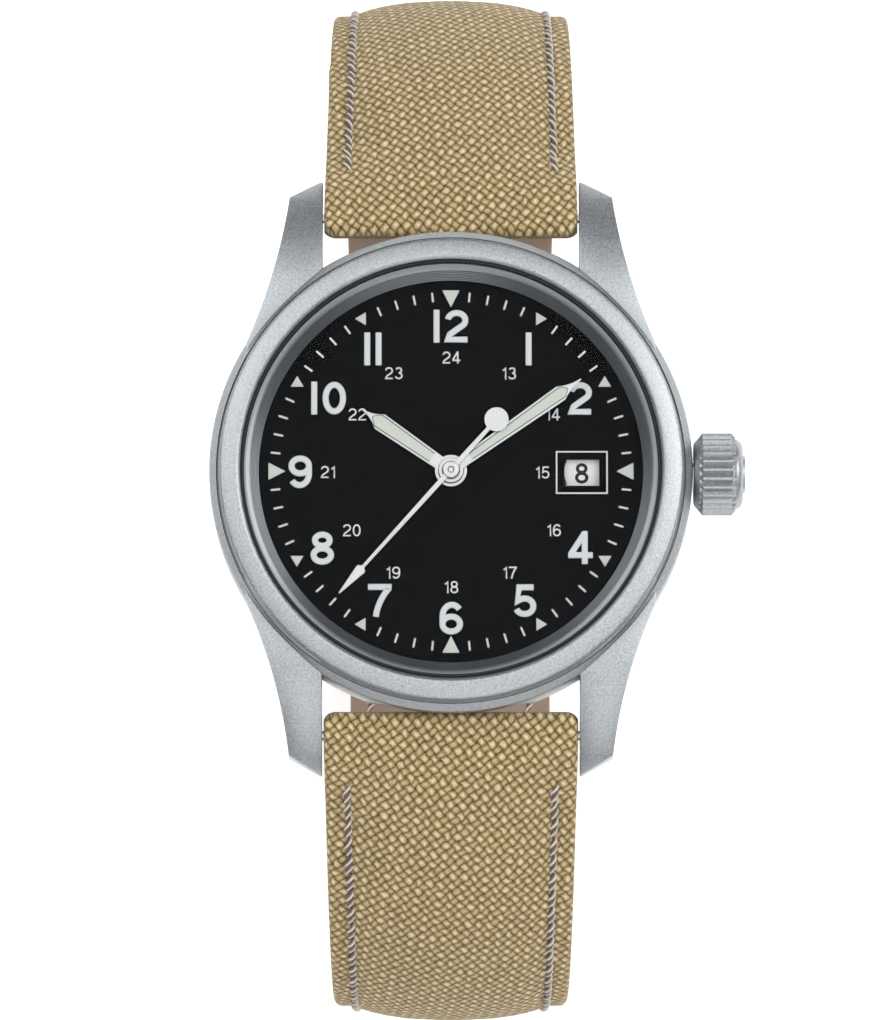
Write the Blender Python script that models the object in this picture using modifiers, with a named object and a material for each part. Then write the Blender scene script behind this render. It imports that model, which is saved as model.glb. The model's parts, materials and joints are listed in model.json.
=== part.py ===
"""A wristwatch with a dial, a hand-wound movement, a crown and a two-piece canvas strap.

Frame: the origin is the middle of the case back's flat face, +Z goes out through the dial, +Y points to
12 o'clock and +X to 3 o'clock and the crown. Every size below is in millimetres. Pieces are drawn at one
unit to the millimetre, and finish_part() scales them to metres and puts each origin on its joint's axis.
"""

import math

import bmesh
import bpy
from mathutils import Matrix, Vector

MM = 0.001
TAU = math.tau

# ---- clearances ----
FIT = 0.04            # between pieces that are pressed or screwed together
RUN = 0.06            # between pieces that turn or slide on each other

# ---- case ----
CASE_R = 19.0
CASE_BOTTOM = 1.15
CASE_TOP = 7.3
CASE_SHOULDER_R = 18.35   # where the case's top ring meets the bezel
CASE_FOOT_R = 18.0
CASE_SIDES = 40
TRIM_SIDES = 28
BACK_FLANGE_R = 16.4
BACK_FACE_R = 15.2
BACK_THICK = 1.1
BACK_THREAD_R = 15.55
BACK_THREAD_TOP = 2.3
BACK_NOTCHES = 6
MOVEMENT_BORE_R = 15.2
DIAL_R = 15.45
DIAL_BOTTOM = 5.95
DIAL_TOP = 6.35
REHAUT_R_LOW = 15.1
REHAUT_R_HIGH = 15.8
REHAUT_TOP = 7.88
BEZEL_R = 18.2
BEZEL_INNER_R = 16.5
BEZEL_TOP = 8.9
CRYSTAL_R = 16.2
CRYSTAL_TOP = 9.3
CRYSTAL_DOME = 9.5

# ---- lugs and spring bars ----
LUG_GAP = 20.3        # between the lugs' inner faces
LUG_TIP_Y = 23.65
LUG_SLOT_Y = 14.5     # hidden inside the round case
BAR_Y = 20.55
BAR_Z = 2.9
SCOOP_R = 2.75         # hollow in the case's side for the strap's end
BAR_TUBE_R = 0.8
BAR_PIN_R = 0.4
PIN_REACH = 1.15      # how far a pin enters its lug
PIN_LENGTH = 4.1

# ---- crown and stem ----
STEM_Z = 4.3
STEM_R = 0.5
STEM_INNER_X = 7.35
TUBE_R = 1.15
TUBE_END_X = 21.2
CROWN_X = 19.1
CROWN_R = 3.25
CROWN_TAPER = 0.4
CROWN_KNURL = 2.9
CROWN_DOME = 0.75
CROWN_FLUTES = 28

# ---- movement levels ----
PLATE_R = 12.8
PLATE_BOTTOM = 4.2
PLATE_TOP = 5.25
BRIDGE_BOTTOM = 2.3
BRIDGE_TOP = 2.68
ARBOR_BOTTOM = 2.36
ARBOR_TOP = 4.9
ARBOR_R = 0.2

# ---- movement train: teeth and centre distances ----
ADDENDUM, DEDENDUM = 0.75, 1.25   # tooth height above and depth below the pitch circle, in modules
LEAVES = 6
BARREL_TEETH, CENTRE_TEETH, THIRD_TEETH, FOURTH_TEETH = 48, 48, 45, 72
ESCAPE_TEETH = 20
BARREL_REACH, THIRD_REACH, ESCAPE_REACH = 6.3, 5.4, 5.3
BARREL_ANGLE, THIRD_ANGLE, ESCAPE_ANGLE = 55.0, -60.0, -150.0
PALLET_XY = (-5.07, -5.36)
BALANCE_XY = (-2.6, -8.0)
BALANCE_R = 4.2
CROWN_WHEEL_XY = (8.1, 0.0)
CROWN_WHEEL_TEETH, RATCHET_TEETH = 20, 56
CANNON_TEETH, MINUTE_TEETH, MINUTE_LEAVES, HOUR_TEETH = 12, 36, 12, 48
MOTION_REACH = 3.0
MOTION_ANGLE = 180.0
CENTRE_TUBE_R = 0.38
CANNON_R = 0.66
HOUR_PIPE_R = 0.95
DATE_RING_INNER_R, DATE_RING_OUTER_R = 8.8, 11.9

# ---- dial window and hands ----
WINDOW_X, WINDOW_Y = 10.28, -0.09
WINDOW_W, WINDOW_H = 2.75, 2.1
HOUR_ANGLE, MINUTE_ANGLE, SECOND_ANGLE = 304.8, 54.8, 222.0   # clockwise from 12 o'clock
HOUR_HAND_Z, MINUTE_HAND_Z, SECOND_HAND_Z = 6.65, 7.0, 7.35
HAND_THICK = 0.2
SECOND_THICK = 0.15

# ---- strap ----
STRAP_WIDTH = 20.0
STRAP_END_WIDTH = 17.0
STRAP_TAPER_LENGTH = 75.0
STRAP_HALF_THICK = 2.0       # padded, beside the lugs
STRAP_END_HALF_THICK = 1.25
STRAP_PAD_LENGTH = 62.0
STRAP_EDGE = 1.75            # flat edge outside each stitch line
LINING_THICK = 0.95
LAYER_GAP = 0.05
SHORT_LENGTH = 75.0
LONG_LENGTH = 108.0
TAIL_POINT = 11.0
LOOP_HALF_WIDTH = 39.8       # half the loop's width on the strap's middle line
LOOP_WIDEST_Z = -18.6
LOOP_RISE, LOOP_DROP = 25.1, 47.4
HOLE_R = 1.0
HOLE_COUNT = 7
HOLE_PITCH = 6.3
HOLE_FIRST_FROM_END = 24.0
STATION_PITCH = 5.4
LINING_START = STRAP_HALF_THICK + 0.3    # clear of the canvas wrapped round the bar
LOOP_OVERLAP = 0.3           # how far past a bar's middle the flat canvas starts
FIXED_KEEPER_AT = 63.0
FREE_KEEPER_AT = 52.0
KEEPER_LENGTH = 5.0
KEEPER_THICK = 0.8
KEEPER_HEIGHT = 5.0
KEEPER_SLACK = 0.3

# ---- buckle ----
BUCKLE_WIRE = 2.0
BUCKLE_LENGTH = 9.5
BUCKLE_BACK = 1.2
BUCKLE_BAR_R = 0.45
TONGUE_WIDTH = 1.8
TONGUE_SLOT = 3.2

FINISHES = {
    # name: (red, green, blue, metallic, roughness)
    "blasted_steel": (0.42, 0.41, 0.39, 1.0, 0.45),
    "polished_steel": (0.62, 0.62, 0.62, 1.0, 0.2),
    "brass": (0.72, 0.55, 0.28, 1.0, 0.3),
    "sapphire": (0.9, 0.93, 0.95, 0.0, 0.05),
    "black_lacquer": (0.02, 0.02, 0.022, 0.0, 0.5),
    "white_lacquer": (0.8, 0.8, 0.76, 0.0, 0.4),
    "black_rubber": (0.03, 0.03, 0.03, 0.0, 0.7),
    "sand_canvas": (0.52, 0.42, 0.29, 0.0, 0.95),
    "taupe_leather": (0.28, 0.21, 0.16, 0.0, 0.7),
    "hand_steel": (0.78, 0.78, 0.76, 1.0, 0.3),
}


# ---------------------------------------------------------------- drawing helpers

def polar(radius, degrees, centre=(0.0, 0.0)):
    """The point at a radius and an angle counterclockwise from +X."""
    turn = math.radians(degrees)
    return (centre[0] + radius * math.cos(turn), centre[1] + radius * math.sin(turn))


def circle(radius, sides, centre=(0.0, 0.0)):
    return [polar(radius, 360.0 * i / sides, centre) for i in range(sides)]


def arc_through(a, b, c, count):
    """Points from a to c on the circle that passes through a, b and c."""
    (ax, ay), (bx, by), (cx, cy) = a, b, c
    d = 2.0 * (ax * (by - cy) + bx * (cy - ay) + cx * (ay - by))
    a2, b2, c2 = ax * ax + ay * ay, bx * bx + by * by, cx * cx + cy * cy
    ox = (a2 * (by - cy) + b2 * (cy - ay) + c2 * (ay - by)) / d
    oy = (a2 * (cx - bx) + b2 * (ax - cx) + c2 * (bx - ax)) / d
    radius = math.hypot(ax - ox, ay - oy)
    start = math.atan2(ay - oy, ax - ox)
    sweep = (math.atan2(cy - oy, cx - ox) - start + math.pi) % TAU - math.pi
    return [(ox + radius * math.cos(start + sweep * i / (count - 1)),
             oy + radius * math.sin(start + sweep * i / (count - 1))) for i in range(count)]


def rounded_rectangle(x0, y0, x1, y1, radius, steps=3):
    corners = ((x1 - radius, y1 - radius, 0), (x0 + radius, y1 - radius, 90),
               (x0 + radius, y0 + radius, 180), (x1 - radius, y0 + radius, 270))
    return [polar(radius, start + 90.0 * i / steps, (x, y))
            for x, y, start in corners for i in range(steps + 1)]


def sector_window(inner, outer, start, end, centre=(0.0, 0.0), steps=5):
    """A loop between two radii and two angles, as cut between a wheel's arms."""
    turns = [start + (end - start) * i / steps for i in range(steps + 1)]
    return [polar(outer, t, centre) for t in turns] + [polar(inner, t, centre) for t in reversed(turns)]


def gear_outline(teeth, module, centre=(0.0, 0.0), tooth_at=0.0):
    """Straight-sided teeth round a pitch circle, with one tooth's middle at the angle tooth_at.

    A small gear's teeth have flat tips, and a large gear's are plain points.
    """
    pitch_r = teeth * module / 2.0
    tip, root = pitch_r + ADDENDUM * module, pitch_r - DEDENDUM * module
    step = 360.0 / teeth
    if teeth < 15:
        corners = ((-0.25, root), (-0.08, tip), (0.08, tip), (0.25, root))
    else:
        corners = ((0.0, tip), (0.5, root))
    return [polar(r, tooth_at + (i + share) * step, centre) for i in range(teeth) for share, r in corners]


# ---------------------------------------------------------------- modelling helpers

def clear_scene():
    for obj in list(bpy.data.objects):
        bpy.data.objects.remove(obj)


def new_collection(name):
    group = bpy.data.collections.new(name)
    bpy.context.scene.collection.children.link(group)
    return group


def on_bench(data):
    """Put a mesh or a curve on the bench as a guide object, which is never a part."""
    obj = bpy.data.objects.new("bench_piece", data)
    obj.hide_render = True
    obj.display_type = "WIRE"
    BENCH.objects.link(obj)
    return obj


def evaluated(obj):
    """The mesh that an object's modifiers leave, welded; the object is removed."""
    graph = bpy.context.evaluated_depsgraph_get()
    graph.update()
    mesh = bpy.data.meshes.new_from_object(obj.evaluated_get(graph))
    mesh.transform(obj.matrix_world)
    bpy.data.objects.remove(obj)
    return welded(mesh)


def welded(mesh):
    work = bmesh.new()
    work.from_mesh(mesh)
    bmesh.ops.remove_doubles(work, verts=work.verts, dist=1e-5)
    bmesh.ops.recalc_face_normals(work, faces=work.faces)
    work.to_mesh(mesh)
    work.free()
    return mesh


def turned(profile, sides):
    """A profile of (radius, height) points turned about Z. It closes on itself, or ends on the axis."""
    area = sum(a[0] * b[1] - b[0] * a[1] for a, b in zip(profile, profile[1:] + profile[:1]))
    points = profile if area < 0 else profile[::-1]
    is_ring = min(radius for radius, _ in points) > 0
    edges = [(i, i + 1) for i in range(len(points) - 1)]
    if is_ring:
        edges.append((len(points) - 1, 0))
    mesh = bpy.data.meshes.new("profile")
    mesh.from_pydata([(radius, 0.0, height) for radius, height in points], edges, [])
    obj = on_bench(mesh)
    screw = obj.modifiers.new("Turn", "SCREW")
    screw.steps = screw.render_steps = sides
    screw.use_merge_vertices = True
    screw.merge_threshold = 0.0001
    return evaluated(obj)


def pin(radius, z0, z1, sides=12):
    return turned([(0.0, z0), (radius, z0), (radius, z1), (0.0, z1)], sides)


def washer(inner, outer, z0, z1, sides=24):
    return turned([(inner, z0), (outer, z0), (outer, z1), (inner, z1)], sides)


def plate(loops, z0, z1):
    """A flat outline with holes, from z0 to z1."""
    curve = bpy.data.curves.new("outline", "CURVE")
    curve.dimensions = "2D"
    curve.fill_mode = "BOTH"
    curve.extrude = (z1 - z0) / 2.0
    for loop in loops:
        spline = curve.splines.new("POLY")
        spline.points.add(len(loop) - 1)
        for point, (x, y) in zip(spline.points, loop):
            point.co = (x, y, 0.0, 1.0)
        spline.use_cyclic_u = True
    mesh = evaluated(on_bench(curve))
    mesh.transform(Matrix.Translation((0.0, 0.0, (z0 + z1) / 2.0)))
    return mesh


def block(x0, y0, z0, x1, y1, z1):
    return plate([[(x0, y0), (x1, y0), (x1, y1), (x0, y1)]], z0, z1)


def combined(base, tools, operation):
    """Join the tools to the base, or cut them from it, one after another."""
    for tool in tools:
        body = on_bench(base)
        cutter = on_bench(tool)
        boolean = body.modifiers.new("Combine", "BOOLEAN")
        boolean.operation = operation
        boolean.solver = "EXACT"
        boolean.object = cutter
        base = evaluated(body)
        bpy.data.objects.remove(cutter)
    return base


def joined(base, *tools):
    return combined(base, tools, "UNION")


def cut(base, *tools):
    return combined(base, tools, "DIFFERENCE")


def moved(mesh, x=0.0, y=0.0, z=0.0):
    mesh.transform(Matrix.Translation((x, y, z)))
    return mesh


def along_x(mesh, y=0.0, z=0.0):
    """Lay a piece drawn about Z so that its axis runs along X, at a height and a side."""
    mesh.transform(Matrix.Translation((0.0, y, z)) @ Matrix.Rotation(math.radians(90.0), 4, "Y"))
    return mesh


def finish_material(name):
    material = bpy.data.materials.get(name)
    if material is None:
        red, green, blue, metallic, roughness = FINISHES[name]
        material = bpy.data.materials.new(name)
        material.use_nodes = True
        shader = material.node_tree.nodes["Principled BSDF"]
        shader.inputs["Base Color"].default_value = (red, green, blue, 1.0)
        shader.inputs["Metallic"].default_value = metallic
        shader.inputs["Roughness"].default_value = roughness
        material.diffuse_color = (red, green, blue, 1.0)
    return material


def finish_part(name, mesh, finish, origin=(0.0, 0.0, 0.0)):
    """Scale a drawn piece to metres, put its origin on its joint's axis, and give it its finish."""
    welded(mesh)
    mesh.transform(Matrix.Scale(MM, 4) @ Matrix.Translation(-Vector(origin)))
    mesh.name = name
    mesh.materials.clear()
    mesh.materials.append(finish_material(finish))
    mesh.shade_smooth()
    mesh.set_sharp_from_angle(angle=math.radians(35.0))
    obj = bpy.data.objects.new(name, mesh)
    obj.location = Vector(origin) * MM
    WATCH.objects.link(obj)


# ---------------------------------------------------------------- case

def lug_profile():
    """The lugs' side view as (y, z): an arched top, a rounded tip and a slightly hollow underside."""
    top = arc_through((12.5, 7.0), (18.9, 5.7), (LUG_TIP_Y - 0.15, 2.4), 9)
    under = arc_through((LUG_TIP_Y - 0.75, 0.5), (17.0, 1.1), (12.0, 1.3), 5)
    right = top + [(LUG_TIP_Y, 1.5), (LUG_TIP_Y - 0.1, 0.8)] + under
    left = [(-y, z) for y, z in reversed(right)]
    return right + left


def lug_outline():
    """The case's plan view inside the round body's edge: four flared lugs with slanted ends."""
    half_gap = LUG_GAP / 2.0
    flare = arc_through((16.1, 10.05), (13.95, 16.0), (12.75, LUG_TIP_Y - 1.5), 9)
    quarter = flare + [(half_gap, LUG_TIP_Y), (half_gap, LUG_SLOT_Y)]
    upper = quarter + [(-x, y) for x, y in reversed(quarter)]
    return upper + [(-x, -y) for x, y in upper]


def mid_case():
    body = turned([(0.0, CASE_TOP), (CASE_SHOULDER_R, CASE_TOP), (CASE_R - 0.08, 6.75), (CASE_R, 6.5),
                   (CASE_R, 2.3), (CASE_R - 0.25, 1.7), (CASE_FOOT_R, CASE_BOTTOM), (0.0, CASE_BOTTOM)],
                  CASE_SIDES)
    lugs = plate([lug_outline()], 0.0, CASE_TOP)
    side_view = plate([lug_profile()], -CASE_R, CASE_R)
    # The side view is drawn in (y, z) and stands up so that its thickness runs along X.
    side_view.transform(Matrix(((0, 0, 1, 0), (1, 0, 0, 0), (0, 1, 0, 0), (0, 0, 0, 1))))
    lugs = combined(lugs, [side_view], "INTERSECT")
    bore = turned([(0.0, CASE_TOP + 1.0), (REHAUT_R_HIGH + 0.2, CASE_TOP + 1.0),
                   (REHAUT_R_HIGH + 0.2, DIAL_TOP + 0.03), (DIAL_R + 0.1, DIAL_TOP + 0.03),
                   (DIAL_R + 0.1, DIAL_BOTTOM - 0.05), (MOVEMENT_BORE_R, DIAL_BOTTOM - 0.05),
                   (MOVEMENT_BORE_R, BACK_THREAD_TOP + 0.1), (BACK_THREAD_R + FIT, BACK_THREAD_TOP + 0.1),
                   (BACK_THREAD_R + FIT, CASE_BOTTOM + 0.35), (16.1, CASE_BOTTOM + 0.35),
                   (16.1, CASE_BOTTOM - 1.0), (0.0, CASE_BOTTOM - 1.0)], CASE_SIDES)
    tube_hole = along_x(pin(TUBE_R + FIT, MOVEMENT_BORE_R - 1.0, CASE_R + 1.0, 16), z=STEM_Z)
    cuts = [bore, tube_hole]
    half_gap = LUG_GAP / 2.0
    for side in (1, -1):
        # The side of the case is scooped out round the strap's end, and each lug takes a pin.
        cuts.append(along_x(pin(SCOOP_R, -half_gap, half_gap, 24), side * BAR_Y, BAR_Z))
        for x in (half_gap, -half_gap - PIN_REACH - 0.2):
            cuts.append(along_x(pin(BAR_PIN_R + RUN, x, x + PIN_REACH + 0.2, 12), side * BAR_Y, BAR_Z))
    finish_part("mid_case", cut(joined(body, lugs), *cuts), "blasted_steel")


def case_rings():
    bezel_low = CASE_TOP + 0.05
    finish_part("bezel", turned(
        [(BEZEL_INNER_R, bezel_low), (BEZEL_R - 0.1, bezel_low), (BEZEL_R, bezel_low + 0.2), (BEZEL_R, 8.15),
         (BEZEL_R - 0.25, 8.45), (17.4, BEZEL_TOP - 0.1), (16.75, BEZEL_TOP), (BEZEL_INNER_R, BEZEL_TOP - 0.05)],
        CASE_SIDES), "blasted_steel")
    glass_low = REHAUT_TOP + FIT
    finish_part("crystal", turned(
        [(0.0, glass_low), (CRYSTAL_R, glass_low), (CRYSTAL_R, CRYSTAL_TOP - 0.45), (CRYSTAL_R - 0.5, CRYSTAL_TOP),
         (10.0, CRYSTAL_DOME - 0.07), (0.0, CRYSTAL_DOME)], CASE_SIDES), "sapphire")
    finish_part("crystal_gasket", washer(CRYSTAL_R + FIT, BEZEL_INNER_R - FIT, glass_low, 8.75, CASE_SIDES),
                "black_rubber")
    finish_part("rehaut_ring", turned(
        [(REHAUT_R_LOW, DIAL_TOP + 0.07), (REHAUT_R_HIGH + 0.15, DIAL_TOP + 0.07),
         (REHAUT_R_HIGH + 0.15, CASE_TOP + 0.1), (BEZEL_INNER_R - 0.1, CASE_TOP + 0.1),
         (BEZEL_INNER_R - 0.1, REHAUT_TOP), (REHAUT_R_HIGH, REHAUT_TOP)], CASE_SIDES), "blasted_steel")


def dial():
    window = rounded_rectangle(WINDOW_X - WINDOW_W / 2, WINDOW_Y - WINDOW_H / 2,
                               WINDOW_X + WINDOW_W / 2, WINDOW_Y + WINDOW_H / 2, 0.08, 1)
    loops = [circle(DIAL_R, CASE_SIDES), circle(HOUR_PIPE_R + 0.2, 20), window]
    finish_part("dial", plate(loops, DIAL_BOTTOM, DIAL_TOP), "black_lacquer")


def case_back():
    back = turned([(0.0, 0.0), (BACK_FACE_R, 0.0), (BACK_FLANGE_R, 0.55), (BACK_FLANGE_R, BACK_THICK),
                   (BACK_THREAD_R, BACK_THICK), (BACK_THREAD_R, BACK_THREAD_TOP),
                   (BACK_THREAD_R - 0.65, BACK_THREAD_TOP), (BACK_THREAD_R - 0.65, BACK_THICK - 0.1),
                   (0.0, BACK_THICK - 0.1)], CASE_SIDES)
    notches = []
    for i in range(BACK_NOTCHES):
        notch = block(-1.5, BACK_FACE_R - 0.7, -1.0, 1.5, BACK_FLANGE_R + 1.0, 0.45)
        notch.transform(Matrix.Rotation(TAU * i / BACK_NOTCHES, 4, "Z"))
        notches.append(notch)
    finish_part("caseback", cut(back, *notches), "blasted_steel")
    finish_part("caseback_gasket", washer(BACK_THREAD_R + 2 * FIT, 16.1 - FIT, BACK_THICK + FIT,
                                          CASE_BOTTOM + 0.3, CASE_SIDES), "black_rubber")


def crown_set():
    stem_origin = (CROWN_X, 0.0, STEM_Z)
    knurl_start = CROWN_X + CROWN_TAPER
    knurl_end = knurl_start + CROWN_KNURL
    crown_end = knurl_end + CROWN_DOME
    flute_module = 2.0 * CROWN_R / (CROWN_FLUTES + 2.0 * ADDENDUM)
    knurl = plate([gear_outline(CROWN_FLUTES, flute_module)], knurl_start, knurl_end)
    core_r = CROWN_R - 0.3
    core = turned([(0.0, CROWN_X), (core_r - 0.35, CROWN_X), (core_r, knurl_start + 0.1),
                   (core_r, knurl_end + 0.15), (core_r - 0.7, crown_end - 0.15), (0.0, crown_end)], 24)
    bore = turned([(0.0, CROWN_X - 1.0), (TUBE_R + 0.2, CROWN_X - 1.0), (TUBE_R + 0.2, TUBE_END_X + 0.2),
                   (STEM_R + FIT, TUBE_END_X + 0.2), (STEM_R + FIT, knurl_end), (0.0, knurl_end)], 16)
    crown = cut(joined(core, knurl), bore)
    finish_part("crown", along_x(crown, z=STEM_Z), "blasted_steel", stem_origin)
    gasket = washer(TUBE_R + 0.03, TUBE_R + 0.17, CROWN_X + 0.5, CROWN_X + 0.9, 16)
    finish_part("crown_gasket", along_x(gasket, z=STEM_Z), "black_rubber", stem_origin)
    tube = washer(STEM_R + 0.12, TUBE_R, MOVEMENT_BORE_R + 0.15, TUBE_END_X, 16)
    finish_part("crown_tube", along_x(tube, z=STEM_Z), "polished_steel")
    stem = turned([(0.0, STEM_INNER_X), (STEM_R - 0.15, STEM_INNER_X), (STEM_R - 0.15, 11.0), (STEM_R, 11.05),
                   (STEM_R, knurl_end - 0.1), (0.0, knurl_end - 0.1)], 12)
    finish_part("winding_stem", along_x(stem, z=STEM_Z), "polished_steel", stem_origin)


def spring_bars():
    half_gap = LUG_GAP / 2.0
    for label, side in (("12", 1), ("6", -1)):
        tube = washer(BAR_PIN_R + RUN, BAR_TUBE_R, -half_gap + 0.15, half_gap - 0.15, 12)
        centre = (0.0, side * BAR_Y, BAR_Z)
        finish_part("spring_bar_" + label, along_x(tube, side * BAR_Y, BAR_Z), "polished_steel", centre)
        for end, outward in (("crown_side", 1), ("far_side", -1)):
            tip = half_gap + PIN_REACH
            bolt = turned([(0.0, tip - PIN_LENGTH), (BAR_PIN_R, tip - PIN_LENGTH), (BAR_PIN_R, tip - 0.15),
                           (BAR_PIN_R - 0.12, tip), (0.0, tip)], 12)
            along_x(bolt, side * BAR_Y, BAR_Z)
            if outward < 0:
                bolt.transform(Matrix.Diagonal((-1.0, 1.0, 1.0, 1.0)))
            finish_part("spring_pin_" + label + "_" + end, bolt, "polished_steel",
                        (outward * half_gap, side * BAR_Y, BAR_Z))


# ---------------------------------------------------------------- movement

def arm_windows(hub, rim, arms, centre, arm_degrees=14.0):
    """The openings between a wheel's arms."""
    step = 360.0 / arms
    return [sector_window(hub, rim, i * step + arm_degrees, (i + 1) * step - arm_degrees, centre, 3)
            for i in range(arms)]


def spoked_wheel(teeth, module, z0, z1, centre, bore, tooth_at, arms=4):
    outline = gear_outline(teeth, module, centre, tooth_at)
    rim = teeth * module / 2.0 - DEDENDUM * module - 0.45
    return plate([outline, circle(bore, 12, centre)] + arm_windows(0.9, rim, arms, centre), z0, z1)


def pinion(leaves, module, z0, z1, centre, arbor_r, arbor_low, arbor_high, tooth_at):
    """A toothed pinion in one piece with its arbor."""
    head = plate([gear_outline(leaves, module, centre, tooth_at)], z0, z1)
    return joined(head, moved(pin(arbor_r, arbor_low, arbor_high), *centre))


def gap_at(teeth, degrees):
    """Where a tooth stands on a gear so that a gap, not a tooth, faces the given angle."""
    return degrees + 180.0 / teeth


BARREL_XY = polar(BARREL_REACH, BARREL_ANGLE)
THIRD_XY = polar(THIRD_REACH, THIRD_ANGLE)
ESCAPE_XY = polar(ESCAPE_REACH, ESCAPE_ANGLE)
MINUTE_XY = polar(MOTION_REACH, MOTION_ANGLE)
BARREL_MODULE = 2 * BARREL_REACH / (BARREL_TEETH + LEAVES)
CENTRE_MODULE = 2 * THIRD_REACH / (CENTRE_TEETH + LEAVES)
THIRD_MODULE = 2 * THIRD_REACH / (THIRD_TEETH + LEAVES)
FOURTH_MODULE = 2 * ESCAPE_REACH / (FOURTH_TEETH + LEAVES)
CANNON_MODULE = 2 * MOTION_REACH / (CANNON_TEETH + MINUTE_TEETH)
HOUR_MODULE = 2 * MOTION_REACH / (HOUR_TEETH + MINUTE_LEAVES)
BARREL_DRUM_R = BARREL_TEETH * BARREL_MODULE / 2.0 - 1.5 * BARREL_MODULE
CROWN_TO_RATCHET = math.dist(BARREL_XY, CROWN_WHEEL_XY)
RATCHET_MODULE = 2 * CROWN_TO_RATCHET / (CROWN_WHEEL_TEETH + RATCHET_TEETH)


def main_plate():
    plate_mesh = plate([circle(PLATE_R, TRIM_SIDES)], PLATE_BOTTOM, PLATE_TOP)
    cuts = [
        moved(pin(BARREL_TEETH * BARREL_MODULE / 2.0 + 0.35, PLATE_BOTTOM - 1.0, 4.75, 24), *BARREL_XY),
        block(STEM_INNER_X - 0.3, -1.05, PLATE_BOTTOM - 1.0, PLATE_R + 1.0, 1.05, PLATE_TOP + 1.0),
        pin(CANNON_R + 0.1, PLATE_BOTTOM - 1.0, PLATE_TOP + 1.0, 16),
    ]
    for place in (THIRD_XY, ESCAPE_XY, BALANCE_XY, MINUTE_XY, BARREL_XY):
        cuts.append(moved(pin(ARBOR_R + RUN, PLATE_BOTTOM - 1.0, PLATE_TOP + 1.0, 12), *place))
    finish_part("mainplate", cut(plate_mesh, *cuts), "brass")
    ring = washer(PLATE_R + 0.1, MOVEMENT_BORE_R - 0.1, 2.9, DIAL_BOTTOM - 0.05, TRIM_SIDES)
    stem_hole = along_x(pin(STEM_R + 0.25, PLATE_R - 1.0, MOVEMENT_BORE_R + 1.0), z=STEM_Z)
    finish_part("movement_ring", cut(ring, stem_hole), "polished_steel")


def bridge_outline(start, end, steps=8):
    """A bridge's plan view: a stretch of the round movement between two angles."""
    rim = [polar(PLATE_R, start + (end - start) * i / steps) for i in range(steps + 1)]
    return rim + [polar(0.6, (start + end) / 2.0)]


def bridges():
    def bridge(name, outline, feet_at, holes):
        drills = [moved(pin(radius, BRIDGE_BOTTOM - 0.5, BRIDGE_TOP + 0.5, 12), *place)
                  for place, radius in holes]
        feet = [moved(pin(0.55, BRIDGE_BOTTOM + 0.1, PLATE_BOTTOM - FIT, 10), *polar(PLATE_R - 0.8, degrees))
                for degrees in feet_at]
        body = joined(plate([outline], BRIDGE_BOTTOM, BRIDGE_TOP), *feet)
        finish_part(name, cut(body, *drills), "brass")

    arbor_hole = ARBOR_R + RUN
    bridge("barrel_bridge", bridge_outline(10.0, 125.0), (20.0, 115.0),
           [(BARREL_XY, 0.56), (CROWN_WHEEL_XY, 0.9)])
    train = bridge_outline(-98.0, 8.0) + [(-0.8, 0.8), (-6.1, -1.6), (-5.4, -3.6), (-1.5, -2.5)]
    bridge("train_bridge", train, (-90.0, -20.0),
           [(THIRD_XY, arbor_hole), (ESCAPE_XY, arbor_hole), ((0.0, 0.0), arbor_hole), (CROWN_WHEEL_XY, 0.9)])
    bx, by = BALANCE_XY
    cock = [polar(PLATE_R, -148.0 + 4.0 * i) for i in range(7)] + [(bx + 0.8, by - 0.9), (bx + 0.8, by + 0.9),
                                                                  (bx - 1.0, by + 1.0)]
    bridge("balance_cock", cock, (-144.0, -131.0), [(BALANCE_XY, arbor_hole)])


def barrel():
    axis = (BARREL_XY[0], BARREL_XY[1], 3.6)
    toothed = plate([gear_outline(BARREL_TEETH, BARREL_MODULE, BARREL_XY, BARREL_ANGLE + 180.0)], 3.55, 3.8)
    wall = moved(pin(BARREL_DRUM_R, 3.7, 4.65, 24), *BARREL_XY)
    hollow = moved(turned([(0.0, 3.3), (BARREL_DRUM_R - 0.25, 3.3), (BARREL_DRUM_R - 0.25, 4.5), (0.0, 4.5)], 24),
                   *BARREL_XY)
    hole = moved(pin(0.35, 3.0, 5.0), *BARREL_XY)
    finish_part("barrel_drum", cut(joined(toothed, wall), hollow, hole), "brass", axis)
    inner, outer, turns, per_turn = 1.1, BARREL_DRUM_R - 0.5, 4, 14
    strip = [polar(inner + (outer - inner) * i / (turns * per_turn), 360.0 * i / per_turn, BARREL_XY)
             for i in range(turns * per_turn + 1)]
    strip_outside = [polar(inner + 0.12 + (outer - inner) * i / (turns * per_turn), 360.0 * i / per_turn, BARREL_XY)
                     for i in range(turns * per_turn + 1)]
    finish_part("mainspring", plate([strip + strip_outside[::-1]], 3.6, 4.4), "polished_steel")
    arbor = turned([(0.0, 2.0), (0.5, 2.0), (0.5, 3.4), (0.85, 3.4), (0.85, 4.42), (0.3, 4.42), (0.3, 4.7),
                    (ARBOR_R, 4.7), (ARBOR_R, PLATE_TOP - 0.1), (0.0, PLATE_TOP - 0.1)], 16)
    finish_part("barrel_arbor", moved(arbor, *BARREL_XY), "polished_steel", axis)


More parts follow.
